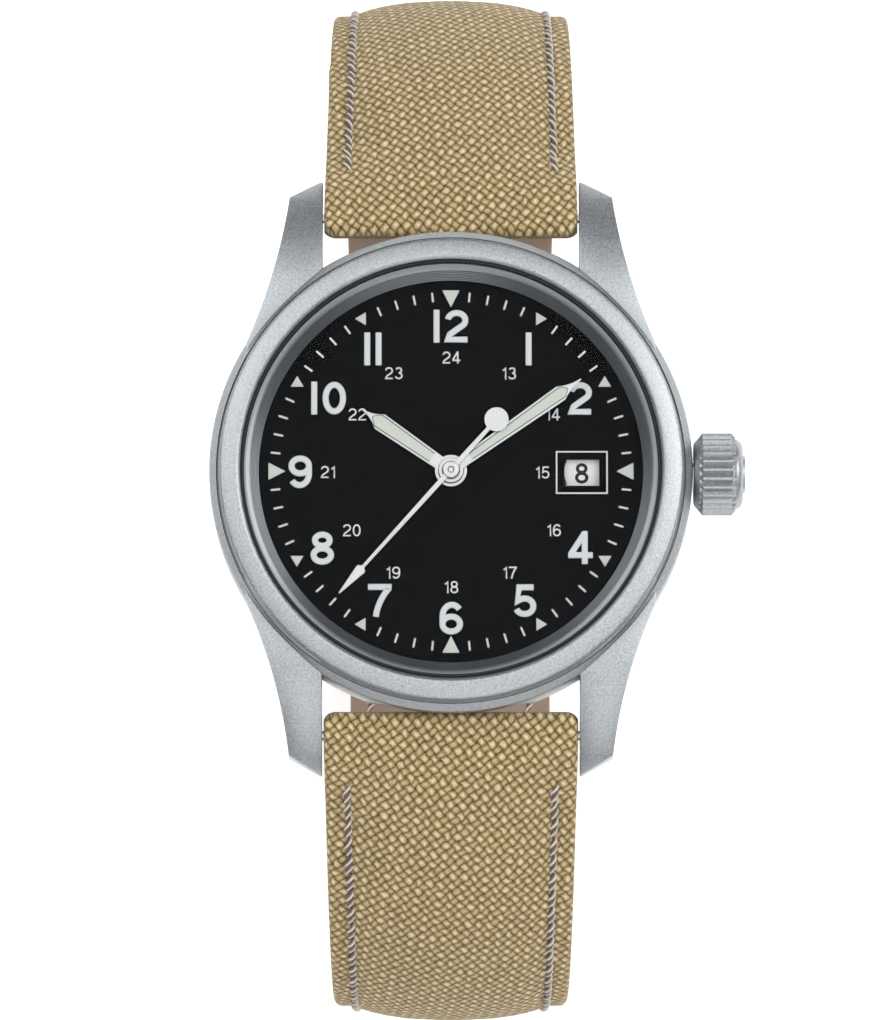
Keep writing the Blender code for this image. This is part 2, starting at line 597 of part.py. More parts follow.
def winding_work():
    barrel_side = math.degrees(math.atan2(BARREL_XY[1] - CROWN_WHEEL_XY[1], BARREL_XY[0] - CROWN_WHEEL_XY[0]))
    ratchet = plate([gear_outline(RATCHET_TEETH, RATCHET_MODULE, BARREL_XY, barrel_side + 180.0),
                     circle(0.5 + FIT, 16, BARREL_XY)], 2.02, 2.22)
    finish_part("ratchet_wheel", ratchet, "polished_steel", (BARREL_XY[0], BARREL_XY[1], 2.1))
    flat = plate([gear_outline(CROWN_WHEEL_TEETH, RATCHET_MODULE, CROWN_WHEEL_XY,
                               gap_at(CROWN_WHEEL_TEETH, barrel_side))], 2.02, 2.22)
    neck = moved(pin(0.8, 2.1, 3.0, 16), *CROWN_WHEEL_XY)
    contrate = plate([gear_outline(CROWN_WHEEL_TEETH, 0.14, CROWN_WHEEL_XY, 0.0)], 2.9, 3.3)
    finish_part("crown_wheel", joined(flat, neck, contrate), "polished_steel", (*CROWN_WHEEL_XY, 2.1))
    # The click is a pawl beside the ratchet wheel, on its own small stud.
    click_xy = polar(RATCHET_TEETH * RATCHET_MODULE / 2.0 + 1.3, 150.0, BARREL_XY)
    tooth = polar(RATCHET_TEETH * RATCHET_MODULE / 2.0 + 0.32, 139.0, BARREL_XY)
    nose = polar(RATCHET_TEETH * RATCHET_MODULE / 2.0 + 0.62, 136.0, BARREL_XY)
    pawl = plate([[polar(0.55, a, click_xy) for a in (100, 150, 200, 250, 300)] + [tooth, nose]], 2.02, 2.22)
    finish_part("click", cut(pawl, moved(pin(0.2, 1.5, 2.6), *click_xy)), "polished_steel", (*click_xy, 2.1))
    stem_bore = circle(STEM_R - 0.15 + RUN, 12)
    for name, start, end, radius in (("winding_pinion", 9.0, 10.1, 0.92), ("sliding_pinion", 7.75, 8.9, 0.86)):
        teeth = 12
        outline = gear_outline(teeth, radius / (teeth / 2.0 + 0.75))
        gear = along_x(plate([outline, stem_bore], start, end), z=STEM_Z)
        finish_part(name, gear, "polished_steel", (start, 0.0, STEM_Z))


def going_train():
    centre_low, centre_high = 3.25, 7.25
    bore = pin(ARBOR_R + RUN, 2.0, 8.0)
    leaves = plate([gear_outline(LEAVES, BARREL_MODULE, (0.0, 0.0), gap_at(LEAVES, BARREL_ANGLE))], 3.5, 3.85)
    tube = pin(CENTRE_TUBE_R, centre_low, centre_high)
    finish_part("centre_pinion", cut(joined(leaves, tube), bore), "polished_steel", (0.0, 0.0, 3.5))
    finish_part("centre_wheel", spoked_wheel(CENTRE_TEETH, CENTRE_MODULE, 3.3, 3.45, (0.0, 0.0),
                                             CENTRE_TUBE_R + FIT, THIRD_ANGLE), "brass", (0.0, 0.0, 3.4))
    third = (*THIRD_XY, 3.3)
    finish_part("third_pinion", pinion(LEAVES, CENTRE_MODULE, 3.25, 3.5, THIRD_XY, ARBOR_R, ARBOR_BOTTOM, ARBOR_TOP,
                                       gap_at(LEAVES, THIRD_ANGLE + 180.0)), "polished_steel", third)
    finish_part("third_wheel", spoked_wheel(THIRD_TEETH, THIRD_MODULE, 3.0, 3.15, THIRD_XY, ARBOR_R + FIT,
                                            THIRD_ANGLE + 180.0), "brass", third)
    fourth = (0.0, 0.0, 2.9)
    finish_part("fourth_pinion", pinion(LEAVES, THIRD_MODULE * 0.9, 2.96, 3.2, (0.0, 0.0), ARBOR_R, ARBOR_BOTTOM,
                                        SECOND_HAND_Z + SECOND_THICK + 0.05, gap_at(LEAVES, THIRD_ANGLE)),
                "polished_steel", fourth)
    finish_part("fourth_wheel", spoked_wheel(FOURTH_TEETH, FOURTH_MODULE, 2.78, 2.9, (0.0, 0.0), ARBOR_R + FIT,
                                             ESCAPE_ANGLE), "brass", fourth)


def escapement():
    escape = (*ESCAPE_XY, 3.0)
    finish_part("escape_pinion", pinion(LEAVES, FOURTH_MODULE, 2.73, 2.95, ESCAPE_XY, 0.15, ARBOR_BOTTOM, ARBOR_TOP,
                                        gap_at(LEAVES, ESCAPE_ANGLE + 180.0)), "polished_steel", escape)
    hooked = []
    for i in range(ESCAPE_TEETH):
        at = i * 360.0 / ESCAPE_TEETH
        hooked += [polar(1.65, at, ESCAPE_XY), polar(2.2, at + 3.0, ESCAPE_XY), polar(2.2, at + 6.0, ESCAPE_XY),
                   polar(1.65, at + 10.0, ESCAPE_XY)]
    finish_part("escape_wheel", plate([hooked, circle(0.15 + FIT, 12, ESCAPE_XY)]
                                      + arm_windows(0.5, 1.4, 4, ESCAPE_XY), 3.05, 3.18), "polished_steel", escape)
    px, py = PALLET_XY
    lever = [(px - 2.0, py + 0.62), (px - 2.0, py + 0.32), (px - 0.35, py - 0.25), (px + 0.9, py - 0.95),
             (px + 1.35, py - 1.0), (px + 1.15, py - 0.65), (px + 0.35, py + 0.3), (px + 1.8, py + 0.2),
             (px + 1.8, py + 0.5), (px, py + 0.42)]
    fork = joined(plate([lever], 3.05, 3.18), moved(pin(0.16, 2.75, 3.45), px, py))
    finish_part("pallet_fork", fork, "polished_steel", (px, py, 3.1))
    balance = (*BALANCE_XY, 3.7)
    rim = [circle(BALANCE_R, 28, BALANCE_XY), circle(ARBOR_R + FIT, 12, BALANCE_XY)]
    windows = [sector_window(0.7, BALANCE_R - 0.45, i * 120.0 + 6.0, i * 120.0 + 114.0, BALANCE_XY, 8)
               for i in range(3)]
    finish_part("balance_wheel", plate(rim + windows, 3.55, 3.9), "brass", balance)
    staff = turned([(0.0, ARBOR_BOTTOM), (0.12, ARBOR_BOTTOM), (ARBOR_R, 2.7), (ARBOR_R, 3.22), (0.5, 3.22),
                    (0.5, 3.36), (ARBOR_R, 3.36), (ARBOR_R, 4.5), (0.12, 4.6), (0.12, ARBOR_TOP), (0.0, ARBOR_TOP)],
                   12)
    finish_part("balance_staff", moved(staff, *BALANCE_XY), "polished_steel", balance)
    inner, outer, turns, per_turn = 0.35, 2.4, 5, 12
    coil = [polar(inner + (outer - inner) * i / (turns * per_turn), 360.0 * i / per_turn, BALANCE_XY)
            for i in range(turns * per_turn + 1)]
    coil_outside = [polar(inner + 0.06 + (outer - inner) * i / (turns * per_turn), 360.0 * i / per_turn, BALANCE_XY)
                    for i in range(turns * per_turn + 1)]
    finish_part("hairspring", plate([coil + coil_outside[::-1]], 2.76, 2.9), "polished_steel")


def motion_work():
    cannon_gear = plate([gear_outline(CANNON_TEETH, CANNON_MODULE, (0.0, 0.0), gap_at(CANNON_TEETH, MOTION_ANGLE))],
                        5.35, 5.5)
    cannon = cut(joined(cannon_gear, pin(CANNON_R, 5.48, MINUTE_HAND_Z + HAND_THICK, 16)),
                 pin(CENTRE_TUBE_R + RUN, 5.0, 8.0))
    finish_part("cannon_pinion", cannon, "polished_steel", (0.0, 0.0, 5.4))
    lower = plate([gear_outline(MINUTE_TEETH, CANNON_MODULE, MINUTE_XY, MOTION_ANGLE + 180.0)], 5.36, 5.46)
    upper = plate([gear_outline(MINUTE_LEAVES, HOUR_MODULE, MINUTE_XY, gap_at(MINUTE_LEAVES, MOTION_ANGLE + 180.0))],
                  5.4, 5.76)
    stud = moved(pin(ARBOR_R, PLATE_BOTTOM + 0.2, 5.5), *MINUTE_XY)
    finish_part("minute_wheel", joined(lower, upper, stud), "brass", (*MINUTE_XY, 5.4))
    hour_gear = plate([gear_outline(HOUR_TEETH, HOUR_MODULE, (0.0, 0.0), MOTION_ANGLE)], 5.56, 5.7)
    hour = cut(joined(hour_gear, pin(HOUR_PIPE_R, 5.6, HOUR_HAND_Z + HAND_THICK, 20)),
               pin(CANNON_R + RUN, 5.0, 8.0, 16))
    finish_part("hour_wheel", hour, "brass", (0.0, 0.0, 5.6))
    teeth = [polar(DATE_RING_INNER_R + (0.35 if i % 2 else 0.0), i * 180.0 / 31) for i in range(62)]
    finish_part("date_ring", plate([circle(DATE_RING_OUTER_R, TRIM_SIDES), teeth], 5.36, 5.76), "white_lacquer",
                (0.0, 0.0, 5.5))


# ---------------------------------------------------------------- hands

def hand(name, outline, hub_r, bore_r, z, thick, degrees, finish="hand_steel"):
    """A hand drawn pointing to 12 o'clock, with a round hub, then turned clockwise to its hour."""
    blade = joined(plate([outline], z, z + thick), pin(hub_r, z, z + thick, 20))
    blade = cut(blade, pin(bore_r, z - 0.5, z + thick + 0.5, 16))
    blade.transform(Matrix.Rotation(-math.radians(degrees), 4, "Z"))
    finish_part(name, blade, finish, (0.0, 0.0, z))


def sword(base_half, shoulder, shoulder_half, tip):
    """A sword hand's outline: it widens to the shoulder and runs out in a hollow-sided point."""
    point = arc_through((shoulder_half, shoulder), (shoulder_half * 0.36, shoulder + (tip - shoulder) * 0.45),
                        (0.07, tip), 5)
    right = [(base_half, 0.0)] + point
    return right + [(-x, y) for x, y in reversed(right)]


def hands():
    hand("hour_hand", sword(0.5, 6.81, 0.70, 8.47), 1.09 + 0.16, HOUR_PIPE_R + 0.03, HOUR_HAND_Z, HAND_THICK,
         HOUR_ANGLE)
    hand("minute_hand", sword(0.4, 10.58, 0.62, 12.5), 0.85 + 0.1, CANNON_R + 0.03, MINUTE_HAND_Z, HAND_THICK,
         MINUTE_ANGLE)
    tail, disc_r = 5.35, 0.95
    disc = [polar(disc_r, a, (0.0, -tail)) for a in range(108, 433, 27)]
    arrow = [(0.13, 10.35), (0.41, 10.58), (0.05, 13.1)]
    outline = [(-x, y) for x, y in arrow] + arrow[::-1] + [(0.17, 0.0)] + disc[::-1] + [(-0.17, 0.0)]
    hand("seconds_hand", outline, 0.65, ARBOR_R + 0.03, SECOND_HAND_Z, SECOND_THICK, SECOND_ANGLE)


# ---------------------------------------------------------------- strap

def loop_point(turn):
    """The strap's middle line at an angle of its loop, as (y, z); 0 is the widest place."""
    drop = LOOP_RISE if turn > 0 else LOOP_DROP
    return LOOP_HALF_WIDTH * math.cos(turn), LOOP_WIDEST_Z + drop * math.sin(turn)


def walk_loop(step=0.002):
    """Distances along the middle line from the spring bar, with the loop angle at each."""
    turn = math.acos(BAR_Y / LOOP_HALF_WIDTH)
    walk = [(0.0, turn)]
    while turn > -math.pi / 2 - 0.6:
        y0, z0 = loop_point(turn)
        turn -= step
        y1, z1 = loop_point(turn)
        walk.append((walk[-1][0] + math.hypot(y1 - y0, z1 - z0), turn))
    return walk


LOOP_WALK = walk_loop()


def strap_frame(distance, side):
    """The frame at a distance along the strap: X across it, Y along it and Z out of its outer face."""
    turn = LOOP_WALK[0][1]
    for (near, turn_near), (far, turn_far) in zip(LOOP_WALK, LOOP_WALK[1:]):
        if near <= distance <= far:
            turn = turn_near + (turn_far - turn_near) * (distance - near) / (far - near)
            break
    y, z = loop_point(turn)
    y_back, z_back = loop_point(turn + 0.01)
    y_on, z_on = loop_point(turn - 0.01)
    along = Vector((0.0, y_on - y_back, z_on - z_back)).normalized()
    out = Vector((0.0, -along.z, along.y))
    place = Matrix.Identity(4)
    for column, vector in enumerate((Vector((1.0, 0.0, 0.0)), along, out, Vector((0.0, y, z)))):
        place[0][column], place[1][column], place[2][column] = vector.x, side * vector.y, vector.z
    return place


def strap_half_thick(distance):
    share = max(0.0, 1.0 - distance / STRAP_PAD_LENGTH)
    return STRAP_END_HALF_THICK + (STRAP_HALF_THICK - STRAP_END_HALF_THICK) * share


def strap_half_width(distance, length, pointed):
    share = min(1.0, distance / STRAP_TAPER_LENGTH)
    half = (STRAP_WIDTH - (STRAP_WIDTH - STRAP_END_WIDTH) * share) / 2.0
    if pointed and distance > length - TAIL_POINT:
        into = (distance - length + TAIL_POINT) / TAIL_POINT
        half *= max(0.12, math.sqrt(1.0 - into ** 2.4))
    return half


def canvas_section(half, thick, distance):
    """The canvas layer across the strap: thin edges outside the stitching and a padded crown between."""
    low = -thick + LINING_THICK + LAYER_GAP
    pad = 0.75 * max(0.1, 1.0 - distance / STRAP_PAD_LENGTH)
    edge = min(STRAP_EDGE, half * 0.3)
    right = [(half, low), (half, thick - pad), (half - edge, thick - pad), (half - edge * 1.6, thick - pad * 0.35),
             (half * 0.35, thick)]
    return right + [(-x, out) for x, out in reversed(right)]


def lining_section(half, thick, _distance):
    return [(-half, -thick), (half, -thick), (half, -thick + LINING_THICK), (-half, -thick + LINING_THICK)]


def loft(rings):
    """Join equal rings of points into one closed skin with flat ends."""
    work = bmesh.new()
    rows = [[work.verts.new(point) for point in ring] for ring in rings]
    for row, following in zip(rows, rows[1:]):
        for i in range(len(row)):
            j = (i + 1) % len(row)
            work.faces.new((row[i], row[j], following[j], following[i]))
    work.faces.new(rows[0][::-1])
    work.faces.new(rows[-1])
    mesh = bpy.data.meshes.new("loft")
    work.to_mesh(mesh)
    work.free()
    return welded(mesh)


def strap_stations(lining_end, canvas_end):
    """Distances along a strap half at which both of its layers have a section."""
    count = round((lining_end - LINING_START) / STATION_PITCH)
    shared = [LINING_START + (lining_end - LINING_START) * i / count for i in range(count + 1)]
    after = [canvas_end] if canvas_end > lining_end else []
    return [LOOP_OVERLAP] + shared + after


def strap_layer(section, stations, length, side, pointed):
    rings = []
    for distance in stations:
        half = strap_half_width(distance, length, pointed)
        place = strap_frame(distance, side)
        rings.append([place @ Vector((x, 0.0, out))
                      for x, out in section(half, strap_half_thick(distance), distance)])
    return loft(rings)


def strap_cylinder(radius, distance, side, half_length, sides=20):
    return in_strap_frame(along_x(pin(radius, -half_length, half_length, sides)), distance, side)


def in_strap_frame(mesh, distance, side):
    mesh.transform(strap_frame(distance, side))
    return welded(mesh)


def hole_cutters(side):
    first = LONG_LENGTH - HOLE_FIRST_FROM_END
    return [in_strap_frame(pin(HOLE_R, -5.0, 5.0, 10), first - i * HOLE_PITCH, side) for i in range(HOLE_COUNT)]


def strap_half(label, side, length, has_buckle):
    pivot = (0.0, side * BAR_Y, BAR_Z)
    eye_r = STRAP_END_HALF_THICK + 0.15
    lining_end = length - eye_r - 0.25 if has_buckle else length
    canvas_end = length - LOOP_OVERLAP if has_buckle else length
    stations = strap_stations(lining_end, canvas_end)
    lining_stations = [distance for distance in stations if LINING_START <= distance <= lining_end]
    canvas = strap_layer(canvas_section, stations, length, side, not has_buckle)
    lining = strap_layer(lining_section, lining_stations, length, side, not has_buckle)
    ends = [strap_cylinder(STRAP_HALF_THICK, 0.0, side, STRAP_WIDTH / 2.0, 24)]
    canvas_cuts = [strap_cylinder(BAR_TUBE_R + RUN, 0.0, side, STRAP_WIDTH, 16)]
    if has_buckle:
        ends.append(strap_cylinder(eye_r, length, side, STRAP_END_WIDTH / 2.0, 20))
        canvas_cuts.append(strap_cylinder(BUCKLE_BAR_R + RUN, length, side, STRAP_WIDTH, 12))
        through = [in_strap_frame(block(-TONGUE_SLOT / 2, -3.5, -4.0, TONGUE_SLOT / 2, 4.0, 4.0), length, side)]
    else:
        through = hole_cutters(side)
    lining_cuts = [cutter.copy() for cutter in through]
    finish_part("strap_" + label + "_canvas", cut(joined(canvas, *ends), *canvas_cuts, *through), "sand_canvas",
                pivot)
    finish_part("strap_" + label + "_lining", cut(lining, *lining_cuts), "taupe_leather", pivot)


def keepers():
    for name, at in (("fixed_keeper", FIXED_KEEPER_AT), ("free_keeper", FREE_KEEPER_AT)):
        half = strap_half_width(at - KEEPER_LENGTH, SHORT_LENGTH, False) + KEEPER_SLACK
        low = -strap_half_thick(at - KEEPER_LENGTH) - KEEPER_SLACK
        inner = rounded_rectangle(-half, low, half, low + KEEPER_HEIGHT, 0.6)
        outer = rounded_rectangle(-half - KEEPER_THICK, low - KEEPER_THICK, half + KEEPER_THICK,
                                  low + KEEPER_HEIGHT + KEEPER_THICK, 1.2)
        band = plate([outer, inner], -KEEPER_LENGTH / 2, KEEPER_LENGTH / 2)
        band.transform(Matrix(((1, 0, 0, 0), (0, 0, 1, 0), (0, 1, 0, 0), (0, 0, 0, 1))))
        origin = strap_frame(at, 1).translation
        finish_part(name, in_strap_frame(band, at, 1), "sand_canvas", tuple(origin))


def buckle():
    centre = tuple(strap_frame(SHORT_LENGTH, 1).translation)
    inner = STRAP_END_WIDTH / 2.0 + 0.25
    outer = inner + BUCKLE_WIRE
    front = BUCKLE_LENGTH - BUCKLE_WIRE
    half_wire = BUCKLE_WIRE / 2.0
    corner = 1.6
    outline = ([(outer, -BUCKLE_BACK)]
               + [polar(corner, a, (outer - corner, BUCKLE_LENGTH - corner)) for a in (0, 30, 60, 90)]
               + [polar(corner, a, (-outer + corner, BUCKLE_LENGTH - corner)) for a in (90, 120, 150, 180)]
               + [(-outer, -BUCKLE_BACK), (-inner, -BUCKLE_BACK), (-inner, front), (inner, front),
                  (inner, -BUCKLE_BACK)])
    bar_hole = along_x(pin(BUCKLE_BAR_R + FIT, -STRAP_WIDTH, STRAP_WIDTH, 12))
    frame = cut(plate([outline], -half_wire, half_wire), bar_hole)
    finish_part("buckle_frame", in_strap_frame(frame, SHORT_LENGTH, 1), "blasted_steel", centre)
    bar = along_x(pin(BUCKLE_BAR_R, -outer + 0.1, outer - 0.1, 12))
    finish_part("buckle_bar", in_strap_frame(bar, SHORT_LENGTH, 1), "polished_steel", centre)
    # The tongue is drawn in its side view (along, out), then stood up across the strap.
    rest = half_wire + 0.05
    finger = [(0.2, 0.6), (1.6, rest + 0.7), (BUCKLE_LENGTH - 1.2, rest + 0.7), (BUCKLE_LENGTH - 0.2, rest + 0.35),
              (BUCKLE_LENGTH - 0.2, rest), (2.2, rest), (0.9, 0.2)]
    eye_r = BUCKLE_BAR_R + 0.6
    side_view = joined(plate([finger], -TONGUE_WIDTH / 2, TONGUE_WIDTH / 2),
                       pin(eye_r, -TONGUE_WIDTH / 2 - 0.3, TONGUE_WIDTH / 2 + 0.3, 16))
    tongue = cut(side_view, pin(BUCKLE_BAR_R + RUN, -5.0, 5.0, 12))
    tongue.transform(Matrix(((0, 0, 1, 0), (1, 0, 0, 0), (0, 1, 0, 0), (0, 0, 0, 1))))
    finish_part("buckle_tongue", in_strap_frame(tongue, SHORT_LENGTH, 1), "polished_steel", centre)


# ---------------------------------------------------------------- the watch

clear_scene()
WATCH = new_collection("wristwatch")
BENCH = new_collection("bench")
mid_case()
case_rings()
dial()
case_back()
crown_set()
spring_bars()
main_plate()
bridges()
barrel()
winding_work()
going_train()
escapement()
motion_work()
hands()
strap_half("12", 1, SHORT_LENGTH, True)
strap_half("6", -1, LONG_LENGTH, False)
keepers()
buckle()
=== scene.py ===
# %% [markdown]
# # A field wristwatch
# The case is bead-blasted steel, the dial is black lacquer with raised numerals, and the strap is padded
# canvas with a leather lining. The moving solids come from the frame file. This script gives each visible
# piece a fine mesh and a finish, in the same place and at the same size.

# %% Load the frame and note its box
import bisect
import json
import math

import bmesh
import bpy
from mathutils import Matrix, Vector


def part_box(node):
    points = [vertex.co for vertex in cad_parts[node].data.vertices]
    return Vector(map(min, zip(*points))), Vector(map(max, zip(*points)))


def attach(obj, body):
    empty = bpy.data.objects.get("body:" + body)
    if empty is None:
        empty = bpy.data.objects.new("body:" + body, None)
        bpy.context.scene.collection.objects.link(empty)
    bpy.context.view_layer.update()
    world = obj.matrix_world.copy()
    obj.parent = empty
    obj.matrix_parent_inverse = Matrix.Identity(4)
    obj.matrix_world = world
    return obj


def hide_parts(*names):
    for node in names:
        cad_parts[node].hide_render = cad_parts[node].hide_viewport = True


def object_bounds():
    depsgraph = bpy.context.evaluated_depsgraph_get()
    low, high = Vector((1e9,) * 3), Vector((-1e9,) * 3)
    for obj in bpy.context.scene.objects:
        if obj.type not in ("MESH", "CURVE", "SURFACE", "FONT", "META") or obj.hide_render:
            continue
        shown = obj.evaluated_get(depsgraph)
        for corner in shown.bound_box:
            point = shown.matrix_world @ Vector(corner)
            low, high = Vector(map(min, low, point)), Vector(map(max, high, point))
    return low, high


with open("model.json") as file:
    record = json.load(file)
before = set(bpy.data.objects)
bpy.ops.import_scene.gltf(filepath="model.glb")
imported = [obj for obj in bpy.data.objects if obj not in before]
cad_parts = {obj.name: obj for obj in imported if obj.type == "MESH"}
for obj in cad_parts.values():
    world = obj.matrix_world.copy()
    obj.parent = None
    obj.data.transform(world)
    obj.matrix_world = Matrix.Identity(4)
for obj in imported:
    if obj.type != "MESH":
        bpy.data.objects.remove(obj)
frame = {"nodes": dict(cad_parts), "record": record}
cad_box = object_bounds()
MM = 0.001
TAU = math.tau

# %% [markdown]
# ## Places that the frame gives
# Nothing is measured twice. The heights of the dial, the hands and the bezel are read from the frame's own
# boxes, and so is the place of each bar that the strap swings on.

# %% Read the driving places, in millimetres
def span(node):
    """A frame node's lowest and highest corners in millimetres."""
    low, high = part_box(node)
    return [v / MM for v in low], [v / MM for v in high]


case_low, case_high = span("mid_case")
bezel_low, bezel_high = span("bezel")
dial_low, dial_high = span("dial")
crystal_low, crystal_high = span("crystal")
crown_low = span("crown")[0]
CASE_R = -case_low[0]
CASE_TOP = case_high[2]
LUG_TIP = case_high[1]
BEZEL_R = bezel_high[0]
BEZEL_TOP = bezel_high[2]
DIAL_Z = dial_high[2]
joint_at = {joint["name"]: joint for joint in frame["record"]["behaviour"]["joints"]}
BAR_Y, BAR_Z = (v / MM for v in joint_at["strap_12_swing"]["pos_m"][1:])
STEM_Z = joint_at["crown_turn"]["pos_m"][2] / MM
print("dial top", round(DIAL_Z, 2), "bezel top", round(BEZEL_TOP, 2), "bar", round(BAR_Y, 2), round(BAR_Z, 2))

# %% [markdown]
# ## Camera and light
# The watch is seen almost straight down from a long way off, tipped a few degrees towards 6 o'clock, so a
# long lens keeps the case round. A pale floor and a dome that is bright overhead and dimmer at the horizon
# give matte steel its soft shading: faces that look up are bright, and the sloping lugs are darker.

# %% Camera
TILT = math.radians(6.75)
REACH = 0.775
FIELD = 0.0691        # how wide the picture is at the dial
SENSOR = 36.0
camera = bpy.data.objects.new("camera", bpy.data.cameras.new("camera"))
camera.data.sensor_fit = "HORIZONTAL"
camera.data.sensor_width = SENSOR
camera.data.lens = SENSOR * REACH / FIELD
camera.data.clip_end = 10.0
aim = Vector((-0.00086, -0.00306, DIAL_Z * MM))
camera.location = aim + Vector((0.0, -math.sin(TILT), math.cos(TILT))) * REACH
camera.rotation_euler = (TILT, 0.0, 0.0)
bpy.context.scene.collection.objects.link(camera)
bpy.context.scene.camera = camera
bpy.context.scene.view_settings.view_transform = "Standard"


# %% Node helper and colour helper
def linear(hex_colour):
    """An sRGB hex value as the linear colour that shaders work in."""
    channels = [int(hex_colour[i:i + 2], 16) / 255.0 for i in (1, 3, 5)]
    return tuple(c / 12.92 if c <= 0.04045 else ((c + 0.055) / 1.055) ** 2.4 for c in channels) + (1.0,)


def add(tree, kind, links=(), **settings):
    """Add a node, set its properties and its unlinked inputs, and link (input, from_socket) pairs."""
    node = tree.nodes.new(kind)
    for key, value in settings.items():
        if key.startswith("in_"):
            name = key[3:]
            socket = node.inputs[int(name)] if name.isdigit() else node.inputs[name.replace("_", " ")]
            socket.default_value = value
        else:
            setattr(node, key, value)
    for name, source in links:
        tree.links.new(source, node.inputs[name])
    return node


# %% Floor, dome and lamps
def stage():
    world = bpy.data.worlds.new("studio")
    bpy.context.scene.world = world
    world.use_nodes = True
    tree = world.node_tree
    tree.nodes.clear()
    where = add(tree, "ShaderNodeTexCoord")
    height = add(tree, "ShaderNodeSeparateXYZ", [(0, where.outputs["Generated"])])
    ramp = add(tree, "ShaderNodeValToRGB", [(0, height.outputs["Z"])])
    stops = ramp.color_ramp.elements
    stops[0].position, stops[0].color = 0.0, (0.09, 0.092, 0.095, 1.0)
    stops[1].position, stops[1].color = 0.9, (1.4, 1.4, 1.41, 1.0)
    middle = stops.new(0.6)
    middle.color = (0.3, 0.305, 0.31, 1.0)
    back = add(tree, "ShaderNodeBackground", [(0, ramp.outputs[0])], in_Strength=1.0)
    out = add(tree, "ShaderNodeOutputWorld")
    tree.links.new(back.outputs[0], out.inputs[0])
    floor = bpy.data.meshes.new("floor")
    half, low = 2.5, cad_box[0][2] - 0.0002
    floor.from_pydata([(-half, -half, low), (half, -half, low), (half, half, low), (-half, half, low)], [],
                      [(0, 1, 2, 3)])
    floor_object = bpy.data.objects.new("floor", floor)
    bpy.context.scene.collection.objects.link(floor_object)
    paint = bpy.data.materials.new("white_studio_paint")
    paint.use_nodes = True
    shader = paint.node_tree.nodes["Principled BSDF"]
    shader.inputs["Base Color"].default_value = (0.95, 0.95, 0.95, 1.0)
    shader.inputs["Roughness"].default_value = 0.9
    shader.inputs["Emission Color"].default_value = (1.0, 1.0, 1.0, 1.0)
    shader.inputs["Emission Strength"].default_value = 0.35
    floor.materials.append(paint)
    for name, place, size, power in (("left_softbox", (-0.5, 0.35, 0.6), 0.5, 1.6),
                                     ("right_softbox", (0.55, 0.2, 0.55), 0.5, 2.6),
                                     ("front_softbox", (0.1, -0.7, 0.5), 0.6, 1.4)):
        lamp = bpy.data.objects.new(name, bpy.data.lights.new(name, "AREA"))
        lamp.data.size = size
        lamp.data.energy = power
        lamp.location = place
        lamp.rotation_euler = (Vector((0, 0, 0)) - Vector(place)).to_track_quat("-Z", "Y").to_euler()
        bpy.context.scene.collection.objects.link(lamp)


stage()

# %% [markdown]
# ## Finishes
# Each finish is named for what it is. A metal's look is its roughness and the small texture that the maker
# left on it, so blasted steel has a fine grain in its bump, and turned steel has rings.


# %% Metals
def new_finish(name, colour, roughness, metallic=0.0):
    """A material with a Principled shader; returns it with its tree, shader and object coordinates."""
    material = bpy.data.materials.new(name)
    material.use_nodes = True
    tree = material.node_tree
    shader = tree.nodes["Principled BSDF"]
    shader.inputs["Base Color"].default_value = linear(colour)
    shader.inputs["Roughness"].default_value = roughness
    shader.inputs["Metallic"].default_value = metallic
    where = add(tree, "ShaderNodeTexCoord").outputs["Object"]
    return material, tree, shader, where


def grain(tree, shader, where, size_mm, strength, distance_mm, stretch=(1.0, 1.0, 1.0)):
    """A random grain of a real size, as bump."""
    scaled = add(tree, "ShaderNodeMapping", [("Vector", where)], in_Scale=stretch)
    noise = add(tree, "ShaderNodeTexNoise", [("Vector", scaled.outputs[0])], in_Scale=1.0 / (size_mm * MM),
                in_Detail=3.0, in_Roughness=0.6)
    bump = add(tree, "ShaderNodeBump", [("Height", noise.outputs[0])], in_Strength=strength,
               in_Distance=distance_mm * MM)
    tree.links.new(bump.outputs[0], shader.inputs["Normal"])
    return noise


def vary(tree, shader, noise, socket, low, high):
    """Let a pattern carry an input between two values."""
    reach = add(tree, "ShaderNodeMapRange", [("Value", noise.outputs[0])])
    reach.inputs["From Min"].default_value = 0.3
    reach.inputs["From Max"].default_value = 0.7
    reach.inputs["To Min"].default_value = low
    reach.inputs["To Max"].default_value = high
    tree.links.new(reach.outputs[0], shader.inputs[socket])


def blend_colour(tree, shader, factor, first, second):
    """Colour a finish between two colours by a factor."""
    mix = add(tree, "ShaderNodeMix", data_type="RGBA")
    mix.inputs[6].default_value = linear(first)
    mix.inputs[7].default_value = linear(second)
    tree.links.new(factor, mix.inputs[0])
    tree.links.new(mix.outputs[2], shader.inputs["Base Color"])


def blasted_steel():
    # 316L steel blasted with fine glass beads: a dull, even grey with a sparkle of tiny dents.
    material, tree, shader, where = new_finish("bead_blasted_steel", "#ABAEB0", 0.42, 1.0)
    noise = grain(tree, shader, where, 0.14, 0.8, 0.022)
    vary(tree, shader, noise, "Roughness", 0.36, 0.5)
    blend_colour(tree, shader, noise.outputs[0], "#5F6366", "#D9DDE0")
    return material


def polished_steel(name="polished_steel", colour="#D5D7D8", roughness=0.16):
    # Hardened steel, ground and polished: small scratches soften the mirror a little.
    material, tree, shader, where = new_finish(name, colour, roughness, 1.0)
    noise = grain(tree, shader, where, 0.25, 0.1, 0.004, (1.0, 1.0, 6.0))
    vary(tree, shader, noise, "Roughness", roughness * 0.8, roughness * 1.4)
    return material


